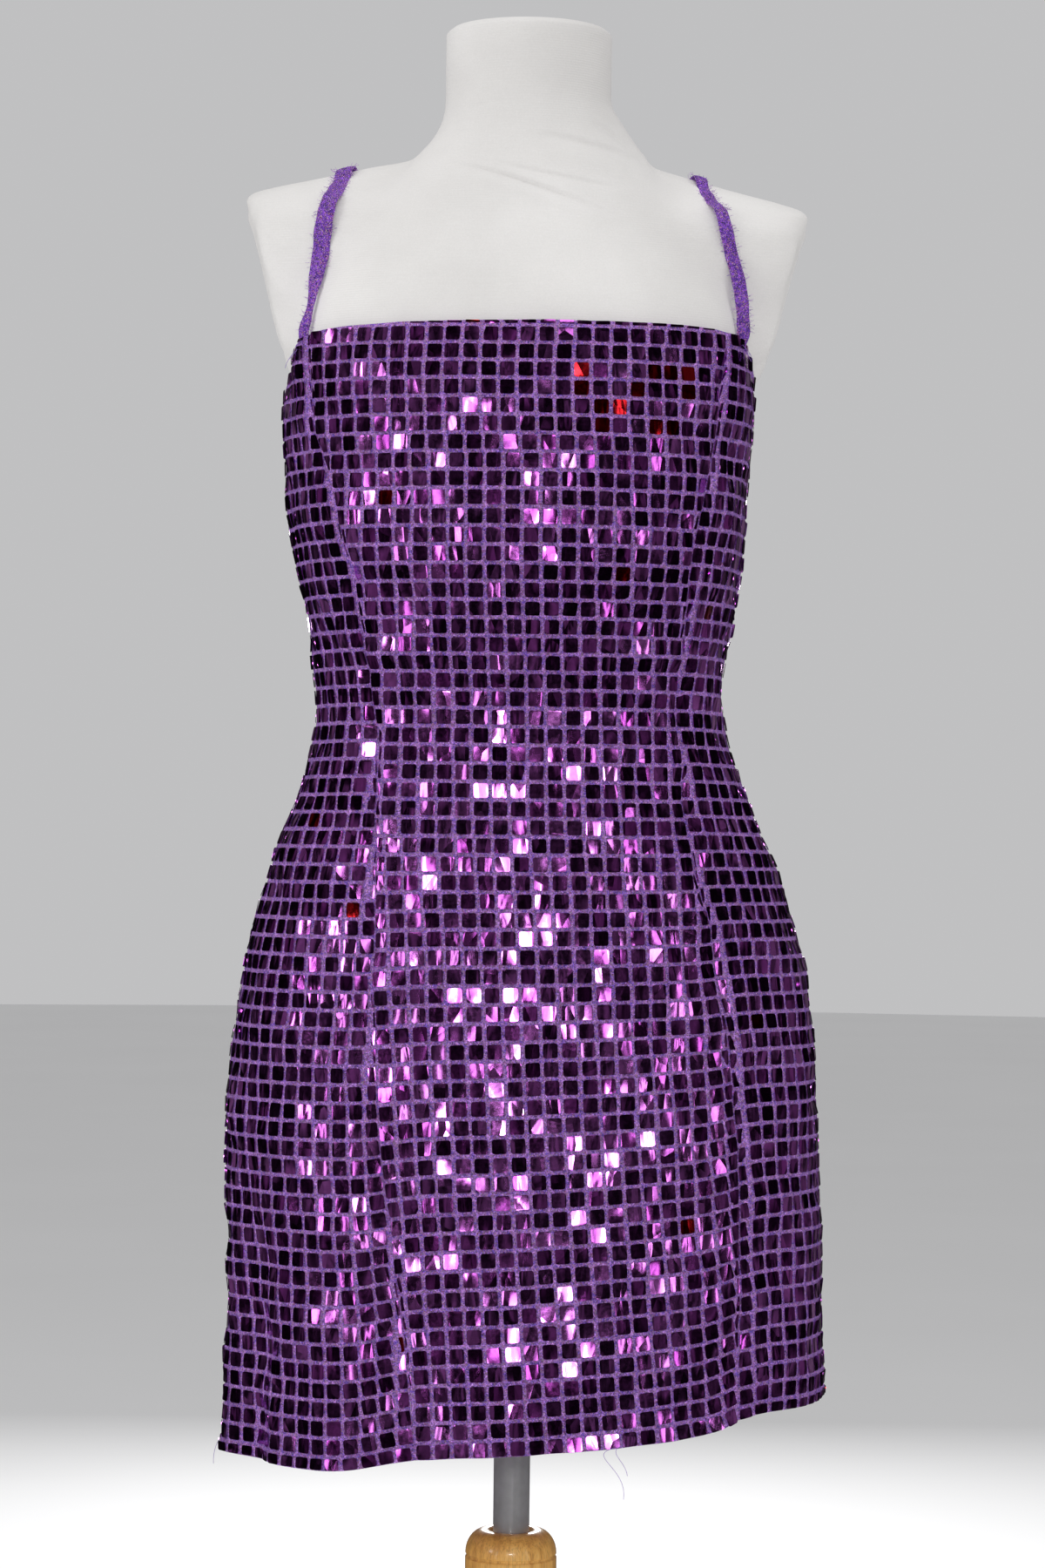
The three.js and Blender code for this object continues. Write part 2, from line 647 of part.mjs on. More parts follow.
function place(name, geometry, finish) {
  const mesh = new THREE.Mesh(geometry, new THREE.MeshStandardMaterial(finish));
  mesh.name = name;
  figure.add(mesh);
}

for (const { name, from, to, columns } of DRESS_PANELS) place(name, panel(from, to, columns), FOIL_KNIT);
for (const design of STRAPS) place(design.name, strap(design), STRAP_KNIT);
place('torso', torso(), JERSEY);
place('pole', pole(), SATIN_METAL);
place('column', column(), LACQUERED_WOOD);
place('base', base(), LACQUERED_WOOD);
place('knob', knob(), SATIN_METAL);

export default figure;
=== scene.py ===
import math

import bmesh
import bpy
import numpy as np
from mathutils import Matrix, Vector


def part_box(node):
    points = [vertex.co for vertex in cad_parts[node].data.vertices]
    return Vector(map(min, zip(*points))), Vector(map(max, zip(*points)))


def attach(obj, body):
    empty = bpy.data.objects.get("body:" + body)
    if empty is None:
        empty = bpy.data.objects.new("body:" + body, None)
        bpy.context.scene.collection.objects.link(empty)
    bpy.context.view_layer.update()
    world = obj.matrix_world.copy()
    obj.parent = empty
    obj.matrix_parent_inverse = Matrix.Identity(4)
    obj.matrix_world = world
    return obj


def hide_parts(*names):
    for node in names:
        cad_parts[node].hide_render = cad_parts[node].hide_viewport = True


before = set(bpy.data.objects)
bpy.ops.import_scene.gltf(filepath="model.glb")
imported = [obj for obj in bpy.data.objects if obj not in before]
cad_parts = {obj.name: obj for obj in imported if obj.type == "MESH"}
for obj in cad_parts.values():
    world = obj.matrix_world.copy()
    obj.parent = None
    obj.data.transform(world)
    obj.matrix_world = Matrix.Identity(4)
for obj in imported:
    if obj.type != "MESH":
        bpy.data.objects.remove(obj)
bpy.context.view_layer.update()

# ---- Camera, light and floor -------------------------------------------------------------
# The dress form stands on a plain pale floor and is looked at level, from straight ahead.
# A broad light and a small one behind the viewer make the foil flash. Strips and a patch at
# the sides add glints, and large panels at the sides, behind and above fill in.

scene = bpy.context.scene
scene.view_settings.view_transform = "Standard"

VIEW_DISTANCE = 2.6
VIEW_HEIGHT = 0.985
VIEW_ASIDE = 0.0016
VIEW_ROLL = math.radians(0.7)
SEEN_HEIGHT = 1.08

camera_data = bpy.data.cameras.new("camera")
camera_data.sensor_width = 36
camera_data.lens = camera_data.sensor_width * VIEW_DISTANCE / SEEN_HEIGHT
camera = bpy.data.objects.new("camera", camera_data)
scene.collection.objects.link(camera)
upright = Matrix.Rotation(math.pi / 2, 4, "X") @ Matrix.Rotation(VIEW_ROLL, 4, "Z")
camera.matrix_world = Matrix.Translation((VIEW_ASIDE, -VIEW_DISTANCE, VIEW_HEIGHT)) @ upright
scene.camera = camera


def soft_light(name, place, aim, size, watts, mirrored=True):
    """A rectangular light panel, which the foil mirrors or not."""
    data = bpy.data.lights.new(name, "AREA")
    data.shape = "RECTANGLE"
    data.size, data.size_y = size
    data.energy = watts
    light = bpy.data.objects.new(name, data)
    light.location = place
    light.rotation_euler = (Vector(aim) - Vector(place)).to_track_quat("-Z", "Y").to_euler()
    light.visible_glossy = mirrored
    scene.collection.objects.link(light)


soft_light("front_light", (0.04, -2.95, 1.27), (0, 0, 0.98), (1.0, 0.50), 6.5)
soft_light("front_spot", (0, -2.85, 1.24), (0, 0, 0.98), (0.28, 0.26), 7.5)
soft_light("left_strip", (-1.55, -2.1, 1.05), (0, 0, 0.95), (0.14, 1.3), 2.2)
soft_light("right_strip", (1.75, -2.0, 1.05), (0, 0, 0.95), (0.14, 1.3), 2.2)
soft_light("left_light", (-2.6, -1.2, 2.3), (0, 0, 1.0), (1.2, 1.6), 22, mirrored=False)
soft_light("right_light", (2.8, -0.6, 2.5), (0, 0, 1.0), (1.2, 1.6), 16, mirrored=False)
soft_light("left_patch", (-2.1, -1.55, 1.42), (0, 0, 1.2), (0.36, 0.5), 5)
soft_light("back_light", (0, 2.9, 1.6), (0, 0, 0.95), (0.6, 0.8), 40)
soft_light("top_light", (0, -0.3, 3.4), (0, 0, 1.0), (1.6, 1.6), 14)


def wire(tree, kind, inputs=None, **settings):
    """Adds a node, sets its own settings, and sets or links its inputs by name or number."""
    made = tree.nodes.new(kind)
    for setting, value in settings.items():
        setattr(made, setting, value)
    for key, value in (inputs or {}).items():
        if isinstance(key, int):
            socket = made.inputs[key]
        else:
            socket = next(s for s in made.inputs if s.enabled and s.name == key)
        if isinstance(value, bpy.types.NodeSocket):
            tree.links.new(value, socket)
        else:
            socket.default_value = value
    return made


def out(node, name=0):
    """The shown output of a node, by name, or its first one."""
    shown = [s for s in node.outputs if s.enabled]
    return shown[0] if name == 0 else next(s for s in shown if s.name == name)


def noise(tree, vector, scale, detail, **more):
    """The value of a cloudy noise at each place."""
    inputs = {"Vector": vector, "Scale": scale, "Detail": detail, **more}
    return wire(tree, "ShaderNodeTexNoise", inputs).outputs[0]


def mapped(tree, value, low, high, start=0.0, end=1.0):
    """A value that is low where the given one is at its start, and high where it is at its end."""
    return wire(tree, "ShaderNodeMapRange", {
        "Value": value, "From Min": start, "From Max": end, "To Min": low, "To Max": high}).outputs[0]


def colour_run(tree, value, first, last, *between):
    """A colour that runs through [value, colour] stops: the first, the last and any between."""
    node = wire(tree, "ShaderNodeValToRGB", {"Fac": value})
    stops = node.color_ramp.elements
    for stop, (position, colour) in zip(stops, (first, last)):
        stop.position = position
        stop.color = (*colour, 1)
    for position, colour in between:
        stops.new(position).color = (*colour, 1)
    return node.outputs["Color"]


world = bpy.data.worlds.new("studio")
scene.world = world
world.use_nodes = True
world.cycles.sampling_method = "NONE"
studio = world.node_tree
studio.nodes.clear()
patches = noise(studio, wire(studio, "ShaderNodeTexCoord").outputs["Generated"], 5.5, 3.0)
dim_room = colour_run(studio, patches, (0.52, (0.002, 0.0015, 0.002)), (0.76, (0.26, 0.24, 0.26)))
mirrored = wire(studio, "ShaderNodeBackground", {"Color": dim_room, "Strength": 1.0}).outputs[0]
pale = wire(studio, "ShaderNodeBackground", {"Color": (0.80, 0.80, 0.81, 1), "Strength": 0.66}).outputs[0]
in_mirror = wire(studio, "ShaderNodeLightPath").outputs["Is Glossy Ray"]
both = wire(studio, "ShaderNodeMixShader", {0: in_mirror, 1: pale, 2: mirrored}).outputs[0]
wire(studio, "ShaderNodeOutputWorld", {"Surface": both})

FLOOR_REACH = 14
FLOOR_SIDES = 64
floor_mesh = bpy.data.meshes.new("floor")
floor_turns = [math.tau * side / FLOOR_SIDES for side in range(FLOOR_SIDES)]
floor_corners = [(FLOOR_REACH * math.cos(a), FLOOR_REACH * math.sin(a), 0) for a in floor_turns]
floor_mesh.from_pydata(floor_corners, [], [list(range(FLOOR_SIDES))])
floor = bpy.data.objects.new("floor", floor_mesh)
scene.collection.objects.link(floor)
floor.visible_glossy = False


def new_material(name):
    """An empty node material: its tree, its surface shader and each point's own place."""
    material = bpy.data.materials.new(name)
    material.use_nodes = True
    tree = material.node_tree
    place = wire(tree, "ShaderNodeTexCoord").outputs["Object"]
    return material, tree, tree.nodes["Principled BSDF"], place


floor_paint, tree, shader, place = new_material("pale_floor")
tree.links.new(mapped(tree, noise(tree, place, 1.5, 3.0), 0.84, 0.88), shader.inputs["Base Color"])
shader.inputs["Roughness"].default_value = 0.9
floor_mesh.materials.append(floor_paint)

# ---- Base --------------------------------------------------------------------------------
# A round board of honey-coloured hardwood, turned with a rounded rim and a fine groove round
# its raised middle, and lacquered. The column is screwed to it from below.

TURNED_SIDES = 96


def finished(name, shape, smooth_angle=math.radians(35)):
    """Turns a bmesh into an object in the scene, smooth except at its hard edges."""
    bmesh.ops.recalc_face_normals(shape, faces=shape.faces)
    mesh = bpy.data.meshes.new(name)
    shape.to_mesh(mesh)
    shape.free()
    mesh.polygons.foreach_set("use_smooth", [True] * len(mesh.polygons))
    mesh.set_sharp_from_angle(angle=smooth_angle)
    piece = bpy.data.objects.new(name, mesh)
    scene.collection.objects.link(piece)
    return piece


def join_rings(shape, rings):
    """Faces between turned rings of points, where a ring of one point is a tip."""
    for lower, upper in zip(rings, rings[1:]):
        for side in range(TURNED_SIDES):
            nxt = (side + 1) % TURNED_SIDES
            corners = (lower[side % len(lower)], lower[nxt % len(lower)],
                       upper[nxt % len(upper)], upper[side % len(upper)])
            shape.faces.new(list(dict.fromkeys(corners)))


def turned(name, profile):
    """Closed turned solid from [radius, height] pairs, with the first and last on the axis."""
    shape = bmesh.new()
    turns = [math.tau * side / TURNED_SIDES for side in range(TURNED_SIDES)]
    rings = []
    for radius, height in profile:
        around = turns if radius > 0 else [0]
        rings.append([shape.verts.new((radius * math.cos(a), radius * math.sin(a), height)) for a in around])
    join_rings(shape, rings)
    return finished(name, shape)


def quarter_turn(start, end, steps, rises_first):
    """Points of a quarter round from start to end, not counting the start."""
    points = []
    for step in range(1, steps + 1):
        turn = math.pi / 2 * step / steps
        fast, slow = math.sin(turn), 1 - math.cos(turn)
        across, upward = (slow, fast) if rises_first else (fast, slow)
        points.append((start[0] + (end[0] - start[0]) * across, start[1] + (end[1] - start[1]) * upward))
    return points


def bumped(tree, height, strength, distance):
    """The direction that a surface faces where a relief is pressed into it."""
    inputs = {"Height": height, "Strength": strength, "Distance": distance}
    return wire(tree, "ShaderNodeBump", inputs).outputs[0]


def blended(tree, factor, first, second, how="MIX"):
    """One colour mixed into another, or multiplied by it."""
    inputs = {"Factor": factor, "A": first, "B": second}
    return out(wire(tree, "ShaderNodeMix", inputs, data_type="RGBA", blend_type=how))


def grained_wood(name, along_z, tone=1.0):
    """Honey-coloured lacquered wood: streaks along the grain, darker rings and fine pores."""
    material, tree, shader, place = new_material(name)
    stretch = (1, 1, 0.06) if along_z else (0.06, 1, 1)
    grain = wire(tree, "ShaderNodeMapping", {"Vector": place, "Scale": stretch}).outputs[0]
    year_rings = noise(tree, grain, 26.0, 4.0)
    streaks = noise(tree, grain, 210.0, 5.0, Roughness=0.65, Distortion=0.6)
    pores = noise(tree, grain, 1100.0, 2.0)
    figure = out(wire(tree, "ShaderNodeMix", {"Factor": 0.45, "A": streaks, "B": year_rings}))
    dark, honey, light = ([tone * part for part in colour] for colour in (
        (0.42, 0.17, 0.032), (0.72, 0.37, 0.082), (0.88, 0.53, 0.155)))
    wood = colour_run(tree, figure, (0.33, dark), (0.66, light), (0.5, honey))
    dark_pores = mapped(tree, pores, 0.72, 1.0, 0.36, 0.46)
    tree.links.new(blended(tree, 1.0, wood, dark_pores, "MULTIPLY"), shader.inputs["Base Color"])
    tree.links.new(bumped(tree, streaks, 0.25, 0.0004), shader.inputs["Normal"])
    tree.links.new(mapped(tree, streaks, 0.30, 0.50), shader.inputs["Roughness"])
    shader.inputs["Coat Weight"].default_value = 0.5
    shader.inputs["Coat Roughness"].default_value = 0.12
    return material


base_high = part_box("base")[1]
base_reach = base_high.x
base_top = base_high.z
UNDER_ROUND = 0.004
RIM_ROUND = 0.010
RIM_DROP = 0.001
STEP_IN = 0.040
GROOVE_DROP = 0.0024
groove = base_reach - STEP_IN
base_profile = [(0, 0), (base_reach - UNDER_ROUND, 0)]
base_profile += quarter_turn(base_profile[-1], (base_reach, UNDER_ROUND), 4, False)
base_profile += [(base_reach, base_top - RIM_ROUND)]
base_profile += quarter_turn(base_profile[-1], (base_reach - RIM_ROUND, base_top - RIM_DROP), 6, True)
base_profile += [
    (groove + 0.003, base_top - RIM_DROP), (groove + 0.0015, base_top - GROOVE_DROP),
    (groove - 0.0005, base_top - GROOVE_DROP), (groove - 0.002, base_top), (0, base_top),
]
base = turned("wooden_base", base_profile)
base.data.materials.append(grained_wood("base_wood", along_z=False, tone=0.92))
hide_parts("base")
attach(base, "stand")

# ---- Column ------------------------------------------------------------------------------
# A turned post of the same wood. Its foot flares out under two small beads, and its rounded
# shoulder has a fine groove under it. It is bored down its middle for the pole and lacquered.

column_low, column_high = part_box("column")
column_foot = column_low.z
column_top = column_high.z
foot_reach = column_high.x
COLUMN_RADIUS = 0.0315
BORE_RADIUS = 0.0131
BORE_BOTTOM = 0.042
SHOULDER = 0.016
FOOT_BULGE = 0.002
FOOT_HEIGHT = 0.012
FLARE_RADIUS = 0.044
FLARE_HEIGHT = 0.016
WAIST_HEIGHT = 0.060
BEADS = (0.006, 0.014)
BEAD_HEIGHT = 0.006
BEAD_ROOT = 0.0007
BEAD_SWELL = 0.0016
PLAIN_START = 0.023
GROOVE_DEPTH = 0.0009
shoulder_z = column_top - SHOULDER
waist_z = column_foot + WAIST_HEIGHT
column_profile = [(0, column_foot), (foot_reach - FOOT_BULGE, column_foot)]
for step in range(1, 8):
    bulge = FOOT_BULGE * math.sin(math.pi * step / 8)
    column_profile.append((foot_reach - FOOT_BULGE + bulge, column_foot + FOOT_HEIGHT * step / 8))
column_profile += [
    (foot_reach - FOOT_BULGE, column_foot + FOOT_HEIGHT),
    (FLARE_RADIUS + 0.0015, column_foot + 0.0135), (FLARE_RADIUS, column_foot + FLARE_HEIGHT),
]
column_profile += quarter_turn(column_profile[-1], (COLUMN_RADIUS, waist_z), 9, False)
for bead in BEADS:
    for step in range(1, 6):
        swell = BEAD_SWELL * math.sin(math.pi * step / 6)
        column_profile.append((COLUMN_RADIUS - BEAD_ROOT + swell, waist_z + bead + BEAD_HEIGHT * step / 6))
    column_profile.append((COLUMN_RADIUS - 0.001, waist_z + bead + 0.007))
column_profile += [(COLUMN_RADIUS, z) for z in np.linspace(waist_z + PLAIN_START, shoulder_z - 0.003, 13)]
column_profile += [
    (COLUMN_RADIUS - GROOVE_DEPTH, shoulder_z - 0.0018), (COLUMN_RADIUS - GROOVE_DEPTH, shoulder_z - 0.0008),
    (COLUMN_RADIUS - 0.0001, shoulder_z),
]
column_profile += quarter_turn(column_profile[-1], (0.0185, column_top), 9, True)
column_profile += [
    (0.0160, column_top - 0.0002), (0.0142, column_top - 0.0012), (BORE_RADIUS, column_top - 0.003),
    (BORE_RADIUS, column_top - 0.02), (BORE_RADIUS, BORE_BOTTOM), (0, BORE_BOTTOM),
]
column = turned("wooden_column", column_profile)
column.data.materials.append(grained_wood("column_wood", along_z=True))
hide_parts("column")
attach(column, "stand")

# ---- Clamp screw -------------------------------------------------------------------------
# A satin metal thumbscrew through the back of the column, which grips the pole at the
# height that is set. Its grip has rounded flutes.

knob_low, knob_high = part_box("knob")
knob_centre = (knob_low + knob_high) / 2
KNOB_FLUTES = 12
FLUTE_DEPTH = 0.0012
SHANK_RADIUS = 0.004
COLLAR_RADIUS = 0.008


def satin_metal(name, tone, roughness, streak_axis):
    """Satin grey metal with fine drawn lines along one axis and faint handling marks."""
    material, tree, shader, place = new_material(name)
    stretch = [1, 1, 1]
    stretch[streak_axis] = 0.02
    lines = wire(tree, "ShaderNodeMapping", {"Vector": place, "Scale": stretch}).outputs[0]
    scratches = noise(tree, lines, 900.0, 3.0)
    tint = mapped(tree, noise(tree, place, 160.0, 5.0), tone * 0.78, tone * 1.1)
    grey = wire(tree, "ShaderNodeCombineColor", {"Red": tint, "Green": tint, "Blue": tint}).outputs[0]
    tree.links.new(grey, shader.inputs["Base Color"])
    tree.links.new(mapped(tree, scratches, roughness - 0.08, roughness + 0.10), shader.inputs["Roughness"])
    tree.links.new(bumped(tree, scratches, 0.2, 0.0002), shader.inputs["Normal"])
    shader.inputs["Metallic"].default_value = 0.65
    return material


# Outline from the tip to the middle of the grip's face: [radius, place along the screw].
tip = knob_low.y
face = knob_high.y
grip = knob_high.x - knob_centre.x
knob_profile = [
    (0, tip), (SHANK_RADIUS - 0.0005, tip), (SHANK_RADIUS, tip + 0.0005), (SHANK_RADIUS, face - 0.019),
    (COLLAR_RADIUS - 0.0005, face - 0.019), (COLLAR_RADIUS, face - 0.0185), (COLLAR_RADIUS, face - 0.0145),
    (grip - 0.0015, face - 0.0130), (grip, face - 0.0115), (grip, face - 0.002),
    (grip - 0.0006, face - 0.0006), (grip - 0.002, face), (grip * 0.6, face), (grip * 0.5, face - 0.0008),
    (0, face - 0.0008),
]
knob_shape = bmesh.new()
knob_rings = []
for radius, depth in knob_profile:
    ring = []
    for side in range(TURNED_SIDES if radius > 0 else 1):
        turn = math.tau * side / TURNED_SIDES
        flute = FLUTE_DEPTH * (0.5 - 0.5 * math.cos(KNOB_FLUTES * turn)) if radius > grip - 0.001 else 0
        across = (radius - flute) * math.sin(turn)
        upward = (radius - flute) * math.cos(turn)
        ring.append(knob_shape.verts.new((across, depth, knob_centre.z + upward)))
    knob_rings.append(ring)
join_rings(knob_shape, knob_rings)
knob = finished("clamp_screw", knob_shape)
knob.data.materials.append(satin_metal("screw_metal", 0.62, 0.32, 1))
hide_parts("knob")
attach(knob, "screw")

# ---- Pole --------------------------------------------------------------------------------
# A grey metal tube with a satin face and softened ends, which slides in the column's bore
# and carries the form on its top.

pole_low, pole_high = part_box("pole")
pole_radius = pole_high.x
EDGE = 0.001
pole_profile = [(0, pole_low.z), (pole_radius - EDGE, pole_low.z)]
pole_profile += quarter_turn((pole_radius - EDGE, pole_low.z), (pole_radius, pole_low.z + EDGE), 3, False)
pole_profile += [(pole_radius, z) for z in np.linspace(pole_low.z, pole_high.z - EDGE, 17)[1:]]
pole_profile += quarter_turn((pole_radius, pole_high.z - EDGE), (pole_radius - EDGE, pole_high.z), 3, True)
pole_profile += [(0, pole_high.z)]
pole = turned("metal_pole", pole_profile)
pole.data.materials.append(satin_metal("pole_metal", 0.62, 0.34, 2))
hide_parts("pole")
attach(pole, "mast")

# ---- Torso -------------------------------------------------------------------------------
# A light limbless body with flat arm plates and a flat-topped neck, under a smooth
# stretched cover of off-white jersey that is drawn into soft wrinkles at the neck.

SOCKET_RADIUS = 0.0131
SOCKET_ROOF = pole_high.z + 0.0003
NECK_CROWN = 0.0012
STEEPEST_SHARE = 2.5
AROUND_STEP = 1.25
FINE_LEVELS = (1.355, 1.450)
FINE_STEP = 0.0010
WIDE_STEP = 0.0055
# Creases of the cover round the foot of the neck, in front and again behind: [x, z] of the two
# ends, how far it bows up, depth of its groove, height of the roll below it, and its width.
WRINKLES = [
    ((-0.056, 1.4045), (0.058, 1.3665), 0.0026, 0.0022, 0.0010, 0.0018),
    ((-0.022, 1.4025), (0.064, 1.3865), -0.0012, 0.0015, 0.0005, 0.0018),
    ((0.008, 1.4225), (0.086, 1.4075), 0.0010, 0.0021, 0.0016, 0.0028),
    ((0.044, 1.4345), (0.080, 1.4100), 0.0010, 0.0018, 0.0008, 0.0024),
    ((-0.042, 1.4420), (-0.018, 1.4462), 0.0, 0.0004, 0.0003, 0.0014),
]
ROLL_BELOW = 3.2
ROLL_BREADTH = 2.6


def welded(name):
    """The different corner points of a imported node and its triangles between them."""
    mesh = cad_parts[name].data
    corners = np.empty(len(mesh.vertices) * 3)
    mesh.vertices.foreach_get("co", corners)
    points, which = np.unique(np.round(corners.reshape(-1, 3), 6), axis=0, return_inverse=True)
    mesh.calc_loop_triangles()
    picks = np.empty(len(mesh.loop_triangles) * 3, dtype=int)
    mesh.loop_triangles.foreach_get("vertices", picks)
    return points, which.reshape(-1)[picks].reshape(-1, 3)


def smooth_curve(keys, values, at, period=None, held=False):
    """Values of a smooth curve through uneven stations; a held one never swings past them."""
    keys = np.asarray(keys, float)
    values = np.asarray(values, float)
    at = np.asarray(at, float)
    if period:
        keys = np.concatenate([keys[-3:] - period, keys, keys[:3] + period])
        values = np.concatenate([values[-3:], values, values[:3]])
        at = keys[3] + np.mod(at - keys[3], period)
    spans = np.diff(keys)
    shape = (-1,) + (1,) * (values.ndim - 1)
    rises = np.diff(values, axis=0) / spans.reshape(shape)
    slopes = np.concatenate([rises[:1], rises, rises[-1:]])
    before = np.concatenate([spans[:1], spans]).reshape(shape)
    after = np.concatenate([spans, spans[-1:]]).reshape(shape)
    low, high = slopes[:-1], slopes[1:]
    slopes = (low * after + high * before) / (before + after)
    if held:
        steepest = STEEPEST_SHARE * np.minimum(np.abs(low), np.abs(high))
        slopes = np.where(low * high > 0, np.clip(slopes, -steepest, steepest), 0)
    i = np.clip(np.searchsorted(keys, at, side="right") - 1, 0, len(keys) - 2)
    span = spans[i]
    t = np.clip((at - keys[i]) / span, 0, 1)
    t = t.reshape(t.shape + (1,) * (values.ndim - 1))
    span = span.reshape(t.shape)
    whole = values[i] * (1 + 2 * t) * (1 - t) ** 2 + values[i + 1] * t * t * (3 - 2 * t)
    return whole + span * (slopes[i] * t * (1 - t) ** 2 - slopes[i + 1] * t * t * (1 - t))


def add_wrinkles(points):
    """Presses each crease and its roll into surface points, and their twins behind."""
    moved = points.copy()
    level = np.linalg.norm(points[:, :2], axis=1)[:, None]
    outward = points * (1, 1, 0) / np.maximum(level, 1e-9)
    for start, end, bow, depth, height, width in WRINKLES:
        slope = (end[1] - start[1]) / (end[0] - start[0])
        for side in (-1, 1):
            share = np.clip((-side * points[:, 0] - start[0]) / (end[0] - start[0]), 0, 1)
            line = start[1] + (end[1] - start[1]) * share + 4 * bow * share * (1 - share)
            above = (points[:, 2] - line) / math.hypot(1, slope)
            groove = depth * np.exp(-(above / width) ** 2)
            roll = height * np.exp(-((above / width + ROLL_BELOW) / ROLL_BREADTH) ** 2)
            fading = (4 * share * (1 - share)) ** 0.7 * (np.sign(points[:, 1]) == side)
            moved += outward * ((roll - groove) * fading)[:, None]
    return moved


torso_points, _ = welded("torso")
torso_points = torso_points[np.hypot(torso_points[:, 0], torso_points[:, 1]) > SOCKET_RADIUS + 0.002]
degrees = np.round(np.degrees(np.arctan2(torso_points[:, 1], torso_points[:, 0]))) % 360
directions = sorted(set(degrees))
meridians = []
for degree in directions:
    line = torso_points[degrees == degree]
    meridians.append(line[np.argsort(line[:, 2])])
body_grid = np.array(meridians)
turns = np.arange(0, 360, AROUND_STEP)
body_grid = smooth_curve(directions, body_grid, turns, period=360)
levels = body_grid[:, :, 2].mean(axis=0)
heights = np.concatenate([
    levels[:2], np.arange(levels[1] + 0.001, FINE_LEVELS[0], WIDE_STEP), np.arange(*FINE_LEVELS, FINE_STEP),
    np.arange(FINE_LEVELS[1], levels[-2], WIDE_STEP), np.linspace(levels[-2], levels[-1], 6)])
body_grid = smooth_curve(levels, body_grid.transpose(1, 0, 2), heights, held=True)
row_count, turn_count, _ = body_grid.shape
body_grid = add_wrinkles(body_grid.reshape(-1, 3)).reshape(row_count, turn_count, 3)
neck_rim = body_grid[-1]
neck_top = neck_rim[:, 2].max()
body_rows = list(body_grid)
for share in (0.97, 0.9, 0.7, 0.4):
    cap_row = neck_rim * (share, share, 1)
    cap_row[:, 2] = neck_top + NECK_CROWN * (1 - share ** 2) ** 0.5 - NECK_CROWN * 0.6
    body_rows.append(cap_row)
low_rim = body_grid[0]
under_rows = []
reach = np.linalg.norm(low_rim[:, :2], axis=1)[:, None]
for share in (0.0, 0.5, 0.9, 0.98):
    level = low_rim * (1, 1, 0) * (SOCKET_RADIUS / reach) * (1 - share) + low_rim * (1, 1, 0) * share
    under_rows.append(level + (0, 0, low_rim[0, 2]))
roof_row = under_rows[0] * (1, 1, 0) + (0, 0, SOCKET_ROOF)
all_rows = [roof_row, *under_rows, *body_rows]


def closed_piece(name, points, faces, smooth_angle=math.radians(35)):
    """A piece from its points and faces, turned to face outward."""
    mesh = bpy.data.meshes.new(name)
    mesh.from_pydata(points, [], faces)
    shape = bmesh.new()
    shape.from_mesh(mesh)
    bpy.data.meshes.remove(mesh)
    return finished(name, shape, smooth_angle)


def lofted(name, rows, top=None):
    """Closed smooth solid through rings of points, with a point in the middle of each end."""
    count = len(rows[0])
    points = np.concatenate(rows).tolist()
    faces = []
    for r in range(len(rows) - 1):
        for c in range(count):
            nxt = (c + 1) % count
            faces.append((r * count + c, r * count + nxt, (r + 1) * count + nxt, (r + 1) * count + c))
    for row, middle, turned_over in ((0, None, True), (len(rows) - 1, top, False)):
        points.append(middle or np.mean(rows[row], axis=0).tolist())
        for c in range(count):
            ends = (row * count + c, row * count + (c + 1) % count)
            faces.append((len(points) - 1, *(ends[::-1] if turned_over else ends)))
    return closed_piece(name, points, faces)


def maths(tree, operation, *values):
    """The result of a sum with one to three numbers."""
    return wire(tree, "ShaderNodeMath", dict(enumerate(values)), operation=operation).outputs[0]


torso = lofted("jersey_torso", all_rows, top=(0, 0, neck_top + NECK_CROWN * 0.4))
jersey, tree, shader, place = new_material("off_white_jersey")
cloudy = noise(tree, place, 9.0, 4.0)
fuzz = noise(tree, place, 900.0, 2.0)
shades = colour_run(tree, cloudy, (0.3, (0.66, 0.645, 0.63)), (0.7, (0.76, 0.745, 0.73)))
speckle = mapped(tree, fuzz, 0.93, 1.04)
tree.links.new(blended(tree, 1.0, shades, speckle, "MULTIPLY"), shader.inputs["Base Color"])
knit_rows = wire(tree, "ShaderNodeTexWave", {
    "Vector": place, "Scale": 190.0, "Distortion": 1.2, "Detail": 2.0, "Detail Scale": 3.0},
    wave_type="BANDS", bands_direction="Z")
relief = maths(tree, "ADD", knit_rows.outputs["Fac"], fuzz)
tree.links.new(bumped(tree, relief, 0.12, 0.0004), shader.inputs["Normal"])
shader.inputs["Roughness"].default_value = 0.9
shader.inputs["Sheen Weight"].default_value = 0.05
shader.inputs["Sheen Roughness"].default_value = 0.5
torso.data.materials.append(jersey)
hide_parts("torso")
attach(torso, "form")

# ---- Dress panels ------------------------------------------------------------------------
# Five shaped panels of violet glitter knit, joined by two princess seams, the side seams and
# a centre back seam. The top edge and the hem are folded inside and stitched.

PANELS = ["front_side_right", "front_centre", "front_side_left", "back_left", "back_right"]
KNIT_WALL = 0.0010
FOLDED_WALL = 0.0020
FOLD_DEPTH = 0.012
SEAM_HALF_GAP = 0.00008
MESH_PITCH = 0.004
MEAN_RADIUS = 0.16
SEAM_DIP = 0.0017
SEAM_HALF_WIDTH = 0.0032
LATTICE_TURN = math.radians(1)
LATTICE_RISE = 0.005

